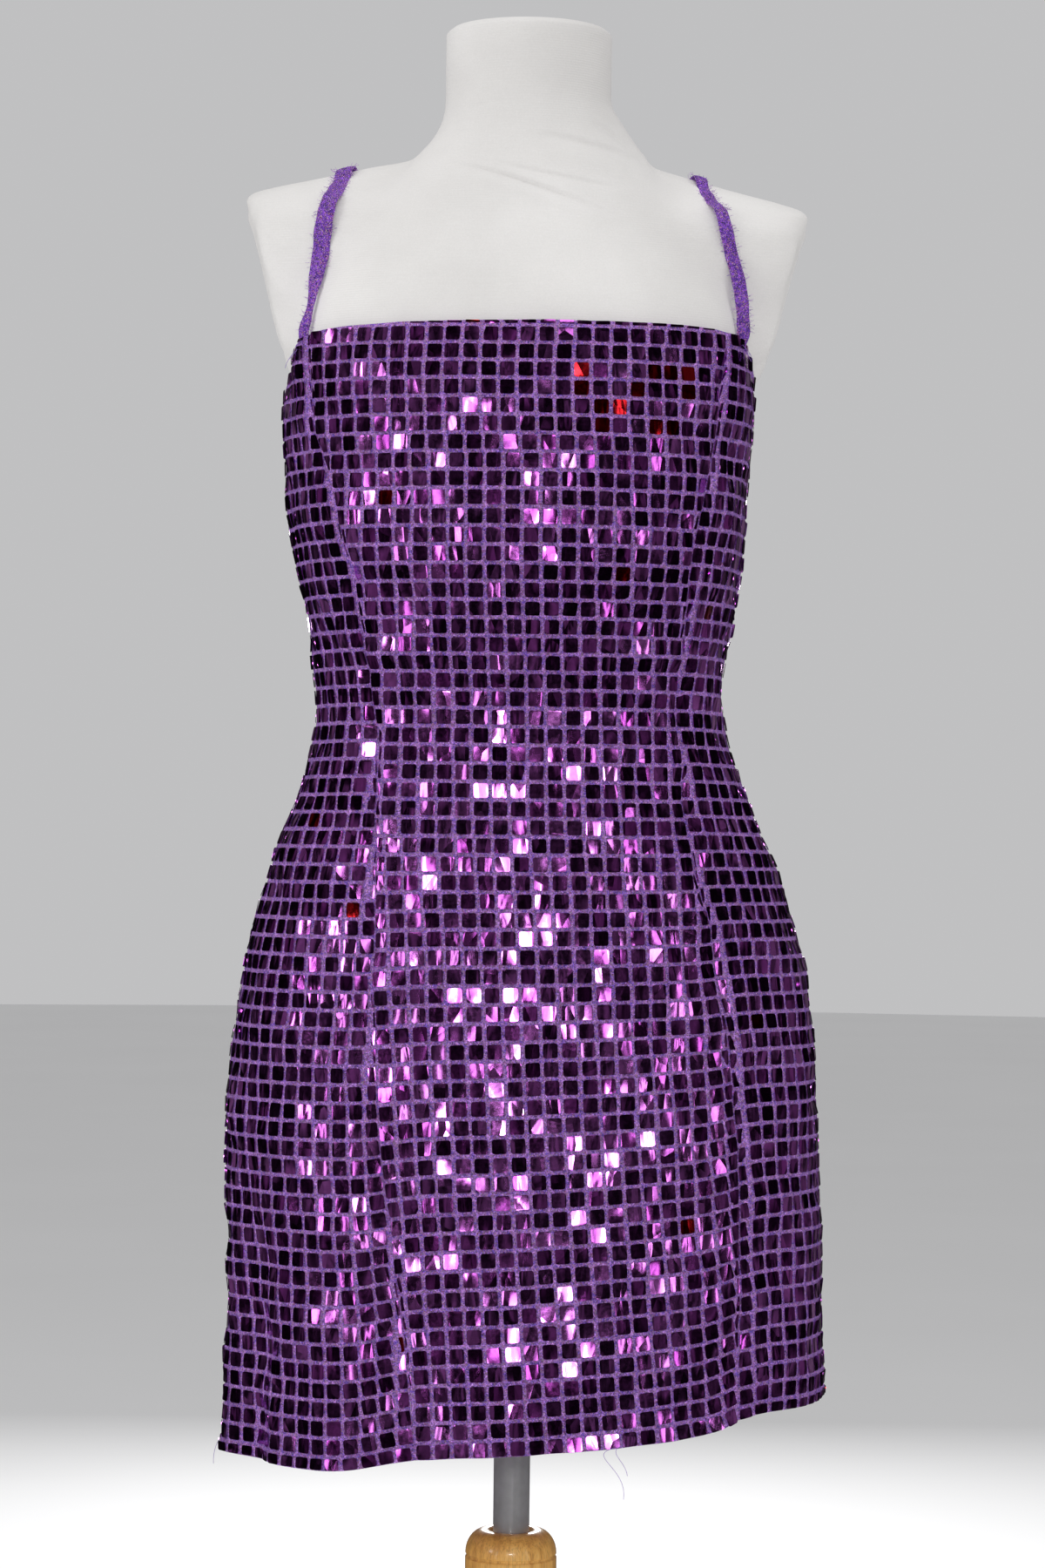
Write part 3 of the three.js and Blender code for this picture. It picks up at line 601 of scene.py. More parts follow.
outer_points = {}
rim_points = {}
for name in PANELS:
    points, triangles = welded(name)
    spacing = np.linalg.norm(points[:, None] - points[None], axis=2)
    np.fill_diagonal(spacing, 1)
    partner = spacing.argmin(axis=1)
    reach = np.hypot(points[:, 0], points[:, 1])
    outside = reach > reach[partner]
    mixed = outside[triangles].any(axis=1) & ~outside[triangles].all(axis=1)
    on_rim = np.zeros(len(points), bool)
    on_rim[np.unique(triangles[mixed])] = True
    outer_points[name] = points[outside]
    rim_points[name] = points[outside & on_rim]

seam_lines = []
edge_points = []
surface_points = []
for index, name in enumerate(PANELS):
    following = PANELS[(index + 1) % len(PANELS)]
    here, there = rim_points[name], rim_points[following]
    near = np.linalg.norm(here[:, None] - there[None], axis=2)
    matched = near.min(axis=1) < 0.001
    seam = (here[matched] + there[near[matched].argmin(axis=1)]) / 2
    seam = seam[np.argsort(seam[:, 2])]
    seam_lines.append(seam)
    edge_points += [seam[0], seam[-1]]
    surface_points.append(seam)
for index, name in enumerate(PANELS):
    around = np.concatenate([seam_lines[index - 1], seam_lines[index]])
    for group, keep in ((outer_points[name], surface_points), (rim_points[name], edge_points)):
        free = np.linalg.norm(group[:, None] - around[None], axis=2).min(axis=1) > 0.001
        keep.extend([group[free]] if keep is surface_points else list(group[free]))
surface_points = np.concatenate(surface_points)
edge_points = np.array(edge_points)


def edge_line(points):
    """Height of an edge all the way round, as a smooth function of the angle."""
    angles = np.arctan2(points[:, 1], points[:, 0])
    order = np.argsort(angles)
    keys, heights = angles[order], points[order, 2]
    return lambda angle: smooth_curve(keys, heights, angle, period=math.tau)


middle_height = (edge_points[:, 2].max() + edge_points[:, 2].min()) / 2
top_edge = edge_line(edge_points[edge_points[:, 2] > middle_height])
hem_edge = edge_line(edge_points[edge_points[:, 2] < middle_height])
hem_low = edge_points[:, 2].min()


def seam_angle(index):
    """Angle of the seam after a panel, as a smooth function of the height."""
    line = seam_lines[index]
    angles = np.arctan2(line[:, 1], line[:, 0])
    if abs(abs(angles[0]) - math.pi) < 0.05:
        return lambda z: np.full(np.shape(z), math.pi)
    return lambda z: smooth_curve(line[:, 2], angles, z)


seams = [seam_angle(index) for index in range(len(PANELS))]
first_seam = {name: seams[index - 1] for index, name in enumerate(PANELS)}
first_seam[PANELS[0]] = lambda z: np.full(np.shape(z), -math.pi)
last_seam = dict(zip(PANELS, seams))

# Smooth sheet through the panels' own points: a sum of cubes of the distance to each point.
known = np.column_stack([np.arctan2(surface_points[:, 1], surface_points[:, 0]), surface_points[:, 2]])
known_reach = np.hypot(surface_points[:, 0], surface_points[:, 1])
for shift in (-math.tau, math.tau):
    beyond = known[: len(surface_points)] + (shift, 0)
    close = (np.abs(beyond[:, 0]) < math.pi + 0.7)
    known = np.concatenate([known, beyond[close]])
    known_reach = np.concatenate([known_reach, known_reach[: len(surface_points)][close]])
stations = known * (MEAN_RADIUS, 1)
count = len(stations)
system = np.zeros((count + 3, count + 3))
system[:count, :count] = np.linalg.norm(stations[:, None] - stations[None], axis=2) ** 3
system[:count, count:] = system[count:, :count].T
system[:count, count:] = np.column_stack([np.ones(count), stations])
system[count:, :count] = system[:count, count:].T
weights = np.linalg.solve(system, np.concatenate([known_reach, np.zeros(3)]))
lattice_turns = np.arange(-math.pi - 3 * LATTICE_TURN, math.pi + 4 * LATTICE_TURN, LATTICE_TURN)
lattice_heights = np.arange(hem_low - 0.03, edge_points[:, 2].max() + 0.03, LATTICE_RISE)
lattice = np.empty((len(lattice_turns), len(lattice_heights)))
for row, turn in enumerate(lattice_turns):
    spots = np.column_stack([np.full(len(lattice_heights), turn * MEAN_RADIUS), lattice_heights])
    pull = np.linalg.norm(spots[:, None] - stations[None], axis=2) ** 3
    lattice[row] = pull @ weights[:count] + weights[count] + spots @ weights[count + 1:]


def cubic_weights(t):
    """Weights of four neighbours in a row for a smooth curve between the middle two."""
    return [((-t + 2) * t - 1) * t / 2, ((3 * t - 5) * t * t + 2) / 2,
            ((-3 * t + 4) * t + 1) * t / 2, (t - 1) * t * t / 2]


def plain_reach(angle, z):
    """Distance of the plain dress surface from the axis."""
    angle = np.mod(np.asarray(angle) + math.pi, math.tau) - math.pi
    across = (angle - lattice_turns[0]) / LATTICE_TURN
    upward = (np.asarray(z) - lattice_heights[0]) / LATTICE_RISE
    i = np.clip(across.astype(int), 1, len(lattice_turns) - 3)
    j = np.clip(upward.astype(int), 1, len(lattice_heights) - 3)
    total = 0
    for di, wi in enumerate(cubic_weights(across - i)):
        for dj, wj in enumerate(cubic_weights(upward - j)):
            total = total + wi * wj * lattice[i + di - 1, j + dj - 1]
    return total


# Slow unevenness of the stiff cloth: [turns round the body, waves per metre, height, phase].
RIPPLES = [
    (9, 11, 0.00050, 0.4), (14, -7, 0.00045, 2.1), (5, 17, 0.00045, 4.0), (21, 9, 0.00034, 1.3),
    (17, -19, 0.00034, 5.2), (27, 15, 0.00025, 3.3), (31, -23, 0.00022, 0.9), (11, 29, 0.00024, 2.8),
]
# Creases (+) and buckles (-) across the cloth: [left angle, right angle, height at the left,
# rise, depth, half width].
CREASES = [
    (-106, -50, 1.046, 0.004, 0.0014, 0.0045), (-128, -96, 0.998, 0.010, 0.0010, 0.0070),
    (35, 88, 1.050, -0.004, 0.0018, 0.0050), (94, 148, 1.046, 0.006, 0.0018, 0.0050),
    (-146, -114, 1.070, 0.0, -0.0026, 0.0095), (-144, -118, 1.046, 0.0, -0.0024, 0.0090),
    (-62, -30, 1.068, 0.004, -0.0028, 0.0095), (-60, -34, 1.046, 0.003, -0.0024, 0.0090),
    (-98, -62, 1.133, 0.0, -0.0022, 0.0100), (-102, -72, 1.110, 0.0, -0.0024, 0.0100),
    (-124, -104, 1.012, 0.0, -0.0018, 0.0090), (-68, -46, 1.010, 0.0, -0.0018, 0.0090),
]


def dress_reach(angle, z):
    """Distance of the finished dress surface from the axis, with its seams and creases."""
    angle = np.asarray(angle, float)
    z = np.asarray(z, float)
    reach = plain_reach(angle, z)
    total = reach.copy()
    for turns_round, waves, height, phase in RIPPLES:
        total += height * np.sin(turns_round * angle + math.tau * waves * z + phase)
    for number, seam in enumerate(seams):
        away = np.mod(angle - seam(z) + math.pi, math.tau) - math.pi
        away = np.abs(away) * reach / SEAM_HALF_WIDTH
        pucker = 0.72 + 0.20 * np.sin(z * 470 + number) + 0.16 * np.sin(z * 291 + 2 * number)
        total += -SEAM_DIP * pucker * np.exp(-away ** 2) + 0.0007 * np.exp(-(away - 3.0) ** 2)
    for left, right, height, rise, depth, half_width in CREASES:
        share = (np.degrees(angle) - left) / (right - left)
        inside = np.clip(4 * share * (1 - share), 0, 1) ** 0.6
        away = (z - height - rise * np.clip(share, 0, 1)) / half_width
        total -= depth * inside * np.exp(-away ** 2)
    above_hem = z - hem_edge(angle)
    total += 0.0007 * np.exp(-((above_hem - 0.003) / 0.004) ** 2)
    total -= 0.0005 * np.exp(-((above_hem - 0.0095) / 0.002) ** 2)
    below_top = top_edge(angle) - z
    total += 0.0004 * np.exp(-((below_top - 0.003) / 0.004) ** 2)
    return total


def dress_point(angle, z, inward=0.0):
    """Point of the dress surface, or below it by a depth along its normal."""
    reach = dress_reach(angle, z)
    level = np.broadcast_to(z, np.shape(reach))
    point = np.stack([reach * np.cos(angle), reach * np.sin(angle), level], axis=-1)
    if np.any(inward):
        point = point - dress_normal(angle, z) * np.asarray(inward)[..., None]
    return point


def dress_normal(angle, z, step=0.0012):
    """Outward direction of the dress surface, from points a step away on each side."""
    turn = step / MEAN_RADIUS
    around = dress_point(angle + turn, z) - dress_point(angle - turn, z)
    upward = dress_point(angle, z + step) - dress_point(angle, z - step)
    normal = np.cross(around, upward)
    return normal / np.linalg.norm(normal, axis=-1, keepdims=True)


def spread(length, pitch, fine):
    """Shares from 0 to 1 along a length, closer together near both ends."""
    middle = np.linspace(fine[-1], length - fine[-1], max(int((length - 2 * fine[-1]) / pitch), 2))
    spots = np.concatenate([fine, middle[1:-1], length - np.array(fine[::-1])])
    return spots / length


DRESS_LENGTH = 0.745
EDGE_TUCK = 0.0003


def knit_panel(name):
    """One panel as a closed shell: outer face, inner face and rounded edges."""
    heights = np.linspace(hem_low, edge_points[:, 2].max(), 9)
    begin, finish = first_seam[name](heights), last_seam[name](heights)
    width = float(np.mean((finish - begin) * plain_reach((begin + finish) / 2, heights)))
    across = spread(width, MESH_PITCH, [0, 0.001, 0.002, 0.0032, 0.005, 0.008])
    upward = spread(DRESS_LENGTH, MESH_PITCH, [0, 0.0012, 0.003, 0.006, 0.009, 0.012])
    share, rise = np.meshgrid(across, upward, indexing="ij")
    z = np.full(share.shape, middle_height)
    for _ in range(8):
        trim = SEAM_HALF_GAP / MEAN_RADIUS
        start, end = first_seam[name](z) + trim, last_seam[name](z) - trim
        angle = start + (end - start) * share
        z = hem_edge(angle) + (top_edge(angle) - hem_edge(angle)) * rise
    edge_away = np.minimum(z - hem_edge(angle), top_edge(angle) - z)
    folded = np.clip((FOLD_DEPTH - edge_away) / 0.002, 0, 1)
    wall = KNIT_WALL + (FOLDED_WALL - KNIT_WALL) * folded
    tuck = EDGE_TUCK * ((rise == 0) | (rise == 1))
    outer = dress_point(angle, z, inward=tuck)
    inner = dress_point(angle, z, inward=wall - tuck)
    top_rim = (outer[:, -1] + inner[:, -1]) / 2 + (0, 0, EDGE_TUCK)
    low_rim = (outer[:, 0] + inner[:, 0]) / 2 - (0, 0, EDGE_TUCK)
    loops = np.concatenate([outer, top_rim[:, None], inner[:, ::-1], low_rim[:, None]], axis=1)
    columns, around, _ = loops.shape
    rows = outer.shape[1]
    faces = []
    for c in range(columns - 1):
        for r in range(around):
            nxt = (r + 1) % around
            faces.append((c * around + r, (c + 1) * around + r, (c + 1) * around + nxt, c * around + nxt))
    for c, flipped in ((0, False), (columns - 1, True)):
        strip = [(r, r + 1, around - 3 - r, around - 2 - r) for r in range(rows - 1)]
        strip += [(rows - 1, rows, rows + 1), (around - 2, around - 1, 0)]
        for corners in strip:
            corners = [c * around + corner for corner in corners]
            faces.append(corners[::-1] if flipped else corners)
    return closed_piece("knit_" + name, loops.reshape(-1, 3).tolist(), faces, math.radians(50))


def glitter_knit(name, ground, bright, sparkle_share):
    """Violet knit with a metal yarn: fine loops with painted light on their middles and painted shade in the
    hollows between them, and tiny bright flecks.
    """
    material, tree, shader, place = new_material(name)
    loops = wire(tree, "ShaderNodeTexVoronoi", {"Vector": place, "Scale": 1250.0}).outputs["Distance"]
    flecks = wire(tree, "ShaderNodeTexVoronoi", {"Vector": place, "Scale": 1500.0})
    uneven = mapped(tree, noise(tree, place, 420.0, 3.0), 0.0, 1.0, 0.36, 0.64)
    luck = wire(tree, "ShaderNodeSeparateColor", {"Color": flecks.outputs["Color"]})
    lit = maths(tree, "GREATER_THAN", luck.outputs["Red"], 1 - sparkle_share)
    # The loops are painted lighter in their middles and darker towards their edges: painted light and painted
    # shade on the knit.
    painted_hollow_shade = mapped(tree, loops, 1.65, 0.30, 0.1, 0.75)
    shaded = blended(tree, 1.0, blended(tree, uneven, ground, bright), painted_hollow_shade, "MULTIPLY")
    spark_tint = blended(tree, luck.outputs["Green"], (0.85, 0.22, 0.72, 1), (0.95, 0.72, 1.0, 1))
    tree.links.new(blended(tree, lit, shaded, spark_tint), shader.inputs["Base Color"])
    tree.links.new(maths(tree, "MULTIPLY", lit, 0.85), shader.inputs["Metallic"])
    tree.links.new(mapped(tree, lit, 0.72, 0.38), shader.inputs["Roughness"])
    height = maths(tree, "ADD", flecks.outputs["Distance"], loops)
    tree.links.new(bumped(tree, height, 1.0, 0.0009), shader.inputs["Normal"])
    shader.inputs["Sheen Weight"].default_value = 0.2
    shader.inputs["Sheen Tint"].default_value = (0.7, 0.42, 1.0, 1)
    return material


SEAM_ALLOWANCE = 0.010


def flat_cut(name):
    """Width, length and area of a panel as it was cut, with its seam and fold allowances."""
    share, rise = np.meshgrid(np.linspace(0, 1, 60), np.linspace(0, 1, 120), indexing="ij")
    z = hem_edge(-math.pi / 2) + 0.74 * rise
    for _ in range(8):
        angle = first_seam[name](z) + (last_seam[name](z) - first_seam[name](z)) * share
        z = hem_edge(angle) + (top_edge(angle) - hem_edge(angle)) * rise
    reach = plain_reach(angle, z)
    points = np.stack([reach * np.cos(angle), reach * np.sin(angle), z], axis=-1)
    widths = np.linalg.norm(np.diff(points, axis=0), axis=-1).sum(axis=0)
    lengths = np.linalg.norm(np.diff(points, axis=1), axis=-1).sum(axis=1)
    cut_width = float(widths.max()) + 2 * SEAM_ALLOWANCE
    cut_length = float(lengths.max()) + 2 * FOLD_DEPTH
    area = (float(widths.mean()) + 2 * SEAM_ALLOWANCE) * (float(lengths.mean()) + 2 * FOLD_DEPTH)
    return cut_width, cut_length, area


panel_knit = glitter_knit("violet_glitter_knit", (0.20, 0.085, 0.60, 1), (0.74, 0.34, 1.0, 1), 0.32)
for name in PANELS:
    piece = knit_panel(name)
    piece.data.materials.append(panel_knit)
    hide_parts(name)
    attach(piece, "form")

# ---- Foil squares ------------------------------------------------------------------------
# Thin purple mirror foil fused to the knit in a grid of rounded squares. The grid runs with
# the grain of each panel and is cut through at the seams; each square lies at its own tilt.

SQUARE = 0.0097
GRID_PITCH = 0.0123
CORNER_RADIUS = 0.0014
FOIL_THICKNESS = 0.00022
FOIL_LIFT = 0.00062
FOIL_TILT = 0.10
FOIL_CRUMPLE = 0.00015
FOIL_LEAN = 0.26
SEAM_MARGIN = 0.0006
EDGE_MARGIN = 0.0004
SMALLEST_CUT = 0.0009
NARROWEST_END = 0.0004
COLUMNS_EACH_WAY = 24
ROW_OVERRUN = 0.12
# The rows follow the hem up to this height above it, and run level from the second height on.
FOLLOW_HEM = (0.05, 0.47)
# How each panel's grid starts: shift of the rows and columns, as shares of the pitch, and the
# slope of its rows.
GRID_STARTS = {
    "front_side_right": (0.22, 0.2, 0.015), "front_centre": (0.04, 0.5, 0.0),
    "front_side_left": (0.3, 0.4, -0.02), "back_left": (0.1, 0.1, 0.0), "back_right": (0.2, 0.3, 0.0),
}
# A patch at the wearer's left of the bust where many squares carry a painted red reflection, their foil
# coloured deep red: angles and heights.
RED_REFLECTION_ANGLES = (-76, -38)
RED_REFLECTION_HEIGHTS = (1.212, 1.270)
RED_REFLECTION_LIMIT = 0.88
chance = np.random.default_rng(7)


def row_path(name, height, slope):
    """Angles, heights and lengths along one row of the grid, out past both seams."""
    start = float(first_seam[name](height)) - ROW_OVERRUN
    end = float(last_seam[name](height)) + ROW_OVERRUN
    angles = np.linspace(start, end, 160)
    guide = 0.5 * float(first_seam[name](height) + last_seam[name](height))
    follow = 1 - np.clip((height - hem_low - FOLLOW_HEM[0]) / (FOLLOW_HEM[1] - FOLLOW_HEM[0]), 0, 1)
    follow = follow * follow * (3 - 2 * follow)
    lean = (hem_edge(angles) - hem_edge(guide)) * follow
    z = height + lean + slope * MEAN_RADIUS * (angles - guide)
    reach = plain_reach(angles, z)
    points = np.stack([reach * np.cos(angles), reach * np.sin(angles), z], axis=-1)
    lengths = np.concatenate([[0], np.cumsum(np.linalg.norm(np.diff(points, axis=0), axis=1))])
    return angles, z, lengths - np.interp(guide, angles, lengths)


def panel_grid(name):
    """Place, directions and cut edges of each foil square on a panel, as arrays."""
    row_shift, column_shift, slope = GRID_STARTS[name]
    heights = np.linspace(hem_low - 0.06, edge_points[:, 2].max() + 0.02, 500)
    guide = 0.5 * (first_seam[name](heights) + last_seam[name](heights))
    reach = plain_reach(guide, heights)
    line = np.stack([reach * np.cos(guide), reach * np.sin(guide), heights], axis=-1)
    climbed = np.concatenate([[0], np.cumsum(np.linalg.norm(np.diff(line, axis=0), axis=1))])
    rows = []
    guide_hem = float(np.interp(0, heights - hem_edge(guide), climbed))
    first_row = guide_hem + SQUARE / 2 + EDGE_MARGIN - GRID_PITCH * (4 + row_shift)
    for number in range(int((climbed[-1] - first_row) / GRID_PITCH) + 1):
        height = np.interp(first_row + number * GRID_PITCH, climbed, heights)
        angles, z, lengths = row_path(name, height, slope)
        spots = (np.arange(-COLUMNS_EACH_WAY, COLUMNS_EACH_WAY + 1) + column_shift) * GRID_PITCH
        spots = spots[(spots > lengths[0]) & (spots < lengths[-1])]
        rows.append(np.column_stack([
            np.interp(at, lengths, values) for at in (spots, spots + 0.001) for values in (angles, z)]))
    angle, z, next_angle, next_z = np.concatenate(rows).T
    centre = dress_point(angle, z)
    normal = dress_normal(angle, z, step=0.0035)
    across = dress_point(next_angle, next_z) - centre
    across -= normal * np.sum(across * normal, axis=1, keepdims=True)
    across /= np.linalg.norm(across, axis=1, keepdims=True)
    upward = np.cross(normal, across)
    half = SQUARE / 2
    cuts = {}
    for level, sign in (("low", -1), ("high", 1)):
        end = centre + sign * half * upward
        for side, seam in (("left", first_seam[name]), ("right", last_seam[name])):
            crossing = dress_point(seam(end[:, 2]), end[:, 2])
            gap = crossing - centre
            away = np.sum(gap * across, axis=1)
            chord = np.linalg.norm(gap - upward * np.sum(gap * upward, axis=1, keepdims=True), axis=1)
            turn = seam(end[:, 2]) - angle
            away = np.where(chord > 0.02, np.sign(turn) * chord, away)
            inset = SEAM_MARGIN if side == "left" else -SEAM_MARGIN
            cuts[side, level] = np.clip(away + inset, -half, half)
    bottom = np.clip((hem_edge(angle) - z) / upward[:, 2] + EDGE_MARGIN, -half, half)
    top = np.clip((top_edge(angle) - z) / upward[:, 2] - EDGE_MARGIN, -half, half)
    low_width = cuts["right", "low"] - cuts["left", "low"]
    high_width = cuts["right", "high"] - cuts["left", "high"]
    keep = (low_width > NARROWEST_END) & (high_width > NARROWEST_END)
    keep &= (low_width + high_width > 2 * SMALLEST_CUT) & (top - bottom > SMALLEST_CUT)
    # Squares in the patch, and a few anywhere, are picked for the painted red reflection.
    red_reflection_patch = (np.degrees(angle) > RED_REFLECTION_ANGLES[0]) & (np.degrees(angle) < RED_REFLECTION_ANGLES[1])
    red_reflection_patch &= (z > RED_REFLECTION_HEIGHTS[0]) & (z < RED_REFLECTION_HEIGHTS[1])
    shade = chance.random(len(angle))
    red_reflection_draw_in_patch = chance.random(len(angle)) * 1.5
    red_reflection_draw_elsewhere = chance.random(len(angle)) * (RED_REFLECTION_LIMIT + 0.005)
    red_reflection_draw = np.where(red_reflection_patch, red_reflection_draw_in_patch, red_reflection_draw_elsewhere)
    return {
        "centre": centre[keep], "across": across[keep], "upward": upward[keep], "outward": normal[keep],
        "cut_low": np.column_stack([cuts["left", "low"], cuts["right", "low"], bottom])[keep],
        "cut_high": np.column_stack([cuts["left", "high"], cuts["right", "high"], top])[keep],
        "shade": shade[keep], "red_reflection_draw": red_reflection_draw[keep],
    }


def new_tree(name, inputs):
    """Geometry tree with named inputs: the tree, its input node and each input's identifier."""
    tree = bpy.data.node_groups.new(name, "GeometryNodeTree")
    tree.interface.new_socket("Geometry", in_out="INPUT", socket_type="NodeSocketGeometry")
    tree.interface.new_socket("Geometry", in_out="OUTPUT", socket_type="NodeSocketGeometry")
    identifiers = {}
    for label, kind in inputs.items():
        socket = tree.interface.new_socket(label, in_out="INPUT", socket_type="NodeSocket" + kind)
        identifiers[label] = socket.identifier
    return tree, tree.nodes.new("NodeGroupInput"), identifiers


def vectors(tree, operation, *values):
    """The result of a sum with vectors, where scaling takes a vector and a number."""
    keys = (0, "Scale") if operation == "SCALE" else range(len(values))
    return out(wire(tree, "ShaderNodeVectorMath", dict(zip(keys, values)), operation=operation))


def stored(tree, name, kind="FLOAT_VECTOR"):
    """Reads a value that each point carries."""
    return out(wire(tree, "GeometryNodeInputNamedAttribute", {"Name": name}, data_type=kind))


def own_place(tree):
    """Where each point is."""
    return tree.nodes.new("GeometryNodeInputPosition").outputs[0]


def drawn(tree, low, high, number, seed, shift):
    """A random value for each copy, by its number."""
    inputs = {"Min": low, "Max": high, "ID": number, "Seed": maths(tree, "ADD", seed, shift)}
    return out(wire(tree, "FunctionNodeRandomValue", inputs, data_type="FLOAT"))


def on_surface(tree, geometry, x, y, z):
    """Moves realised copies from their own upright shape on to their places on the cloth."""
    spot = vectors(tree, "SUBTRACT", own_place(tree), stored(tree, "local"))
    for direction, distance in (("across", x), ("upward", y), ("outward", z)):
        spot = vectors(tree, "ADD", spot, vectors(tree, "SCALE", stored(tree, direction), distance))
    return wire(tree, "GeometryNodeSetPosition", {"Geometry": geometry, "Position": spot}).outputs[0]


def copies_tree(name, inputs):
    """Start of a tree that puts copies of a shape on points: the tree, its inputs and a finisher."""
    tree, given, identifiers = new_tree(name, {**inputs, "Seed": "Int", "Material": "Material"})

    def finish(shape, place_vertices):
        kept = wire(tree, "GeometryNodeStoreNamedAttribute", {
            "Geometry": shape, "Name": "local", "Value": own_place(tree)},
            data_type="FLOAT_VECTOR", domain="POINT")
        copies = wire(tree, "GeometryNodeInstanceOnPoints", {
            "Points": given.outputs["Geometry"], "Instance": kept.outputs[0]})
        whole = wire(tree, "GeometryNodeRealizeInstances", {"Geometry": copies.outputs[0]})
        painted = wire(tree, "GeometryNodeSetMaterial", {
            "Geometry": place_vertices(whole.outputs[0]), "Material": given.outputs["Material"]})
        wire(tree, "NodeGroupOutput", {"Geometry": painted.outputs[0]})

    return tree, given, identifiers, finish


# What the points carry only to place the copies, taken off the mesh again.
PLACING_VALUES = ("local", "across", "upward", "outward", "cut_low", "cut_high", "number")
def place_copies(name, tree, identifiers, values, points):
    """Runs a copies tree over points that carry values, and returns the plain mesh."""
    cloud = bpy.data.meshes.new(name + "_points")
    cloud.from_pydata(points["centre"].tolist(), [], [])
    for label, array in points.items():
        if label == "centre":
            continue
        kind = "FLOAT_VECTOR" if np.ndim(array) == 2 else "FLOAT"
        layer = cloud.attributes.new(label, kind, "POINT")
        layer.data.foreach_set("vector" if kind == "FLOAT_VECTOR" else "value", np.ravel(array).astype("f"))
    numbers = cloud.attributes.new("number", "INT", "POINT")
    numbers.data.foreach_set("value", np.arange(len(points["centre"]), dtype="i"))
    carrier = bpy.data.objects.new(name + "_carrier", cloud)
    scene.collection.objects.link(carrier)
    modifier = carrier.modifiers.new("copies", "NODES")
    modifier.node_group = tree
    for label, value in values.items():
        modifier[identifiers[label]] = value
    graph = bpy.context.evaluated_depsgraph_get()
    mesh = bpy.data.meshes.new_from_object(carrier.evaluated_get(graph), depsgraph=graph)
    carrier.modifiers.remove(modifier)
    bpy.data.objects.remove(carrier)
    bpy.data.meshes.remove(cloud)
    for label in PLACING_VALUES:
        layer = mesh.attributes.get(label)
        if layer:
            mesh.attributes.remove(layer)
    mesh.name = name
    mesh.polygons.foreach_set("use_smooth", [True] * len(mesh.polygons))
    mesh.set_sharp_from_angle(angle=math.radians(40))
    piece = bpy.data.objects.new(name, mesh)
    scene.collection.objects.link(piece)
    return piece


CORNER_INSET = 0.29
CRUMPLES_PER_METRE = 260.0
foil_tree, given, foil_inputs, finish_tree = copies_tree("foil_squares", {
    "Square": "Float", "Corner": "Float", "Thickness": "Float", "Lift": "Float",
    "Tilt": "Float", "Crumple": "Float"})
box = wire(foil_tree, "GeometryNodeMeshCube", {
    "Size": (1, 1, 1), "Vertices X": 4, "Vertices Y": 4, "Vertices Z": 2})
spot = wire(foil_tree, "ShaderNodeSeparateXYZ", {0: own_place(foil_tree)})
half = maths(foil_tree, "MULTIPLY", given.outputs["Square"], 0.5)
inner = maths(foil_tree, "SUBTRACT", half, given.outputs["Corner"])
far_x = maths(foil_tree, "GREATER_THAN", maths(foil_tree, "ABSOLUTE", spot.outputs[0]), 0.4)
far_y = maths(foil_tree, "GREATER_THAN", maths(foil_tree, "ABSOLUTE", spot.outputs[1]), 0.4)
is_corner = maths(foil_tree, "MULTIPLY", far_x, far_y)
inset = maths(foil_tree, "MULTIPLY", given.outputs["Corner"], CORNER_INSET)
corner = maths(foil_tree, "MULTIPLY", is_corner, inset)
sides = []
for axis, far in ((0, far_x), (1, far_y)):
    reach = maths(foil_tree, "ADD", inner, maths(foil_tree, "MULTIPLY", far, given.outputs["Corner"]))
    reach = maths(foil_tree, "SUBTRACT", reach, corner)
    sides.append(maths(foil_tree, "MULTIPLY", maths(foil_tree, "SIGN", spot.outputs[axis]), reach))
shaped = wire(foil_tree, "ShaderNodeCombineXYZ", {0: sides[0], 1: sides[1], 2: spot.outputs[2]})
square = wire(foil_tree, "GeometryNodeSetPosition", {
    "Geometry": box.outputs["Mesh"], "Position": shaped.outputs[0]})


def lay_foil(geometry):
    """Cuts each square to its edges, tilts and crumples it, and lays it on the cloth."""
    local = wire(foil_tree, "ShaderNodeSeparateXYZ", {0: stored(foil_tree, "local")})
    low = wire(foil_tree, "ShaderNodeSeparateXYZ", {0: stored(foil_tree, "cut_low")}).outputs
    high = wire(foil_tree, "ShaderNodeSeparateXYZ", {0: stored(foil_tree, "cut_high")}).outputs
    far_side = maths(foil_tree, "MULTIPLY", half, -1.0)
    y = mapped(foil_tree, local.outputs[1], low[2], high[2], far_side, half)
    left = mapped(foil_tree, y, low[0], high[0], far_side, half)
    right = mapped(foil_tree, y, low[1], high[1], far_side, half)
    x = mapped(foil_tree, local.outputs[0], left, right, far_side, half)
    number = stored(foil_tree, "number", "INT")
    tilts = []
    for shift, along in ((11, x), (23, y)):
        one = drawn(foil_tree, -1.0, 1.0, number, given.outputs["Seed"], shift)
        two = drawn(foil_tree, -1.0, 1.0, number, given.outputs["Seed"], shift + 5)
        sharp = maths(foil_tree, "MULTIPLY", one, maths(foil_tree, "ABSOLUTE", two))
        slope = maths(foil_tree, "MULTIPLY", sharp, given.outputs["Tilt"])
        tilts.append(maths(foil_tree, "MULTIPLY", slope, along))
    spread_out = vectors(foil_tree, "SCALE", own_place(foil_tree), CRUMPLES_PER_METRE)
    uneven = maths(foil_tree, "SUBTRACT", noise(foil_tree, spread_out, 1.0, 1.0), 0.5)
    depth = maths(foil_tree, "MULTIPLY", given.outputs["Crumple"], 4.0)
    crumple = maths(foil_tree, "MULTIPLY", uneven, depth)
    z = maths(foil_tree, "MULTIPLY", local.outputs[2], given.outputs["Thickness"])
    for part in (given.outputs["Lift"], *tilts, crumple):
        z = maths(foil_tree, "ADD", z, part)
    return on_surface(foil_tree, geometry, x, y, z)


finish_tree(square.outputs[0], lay_foil)

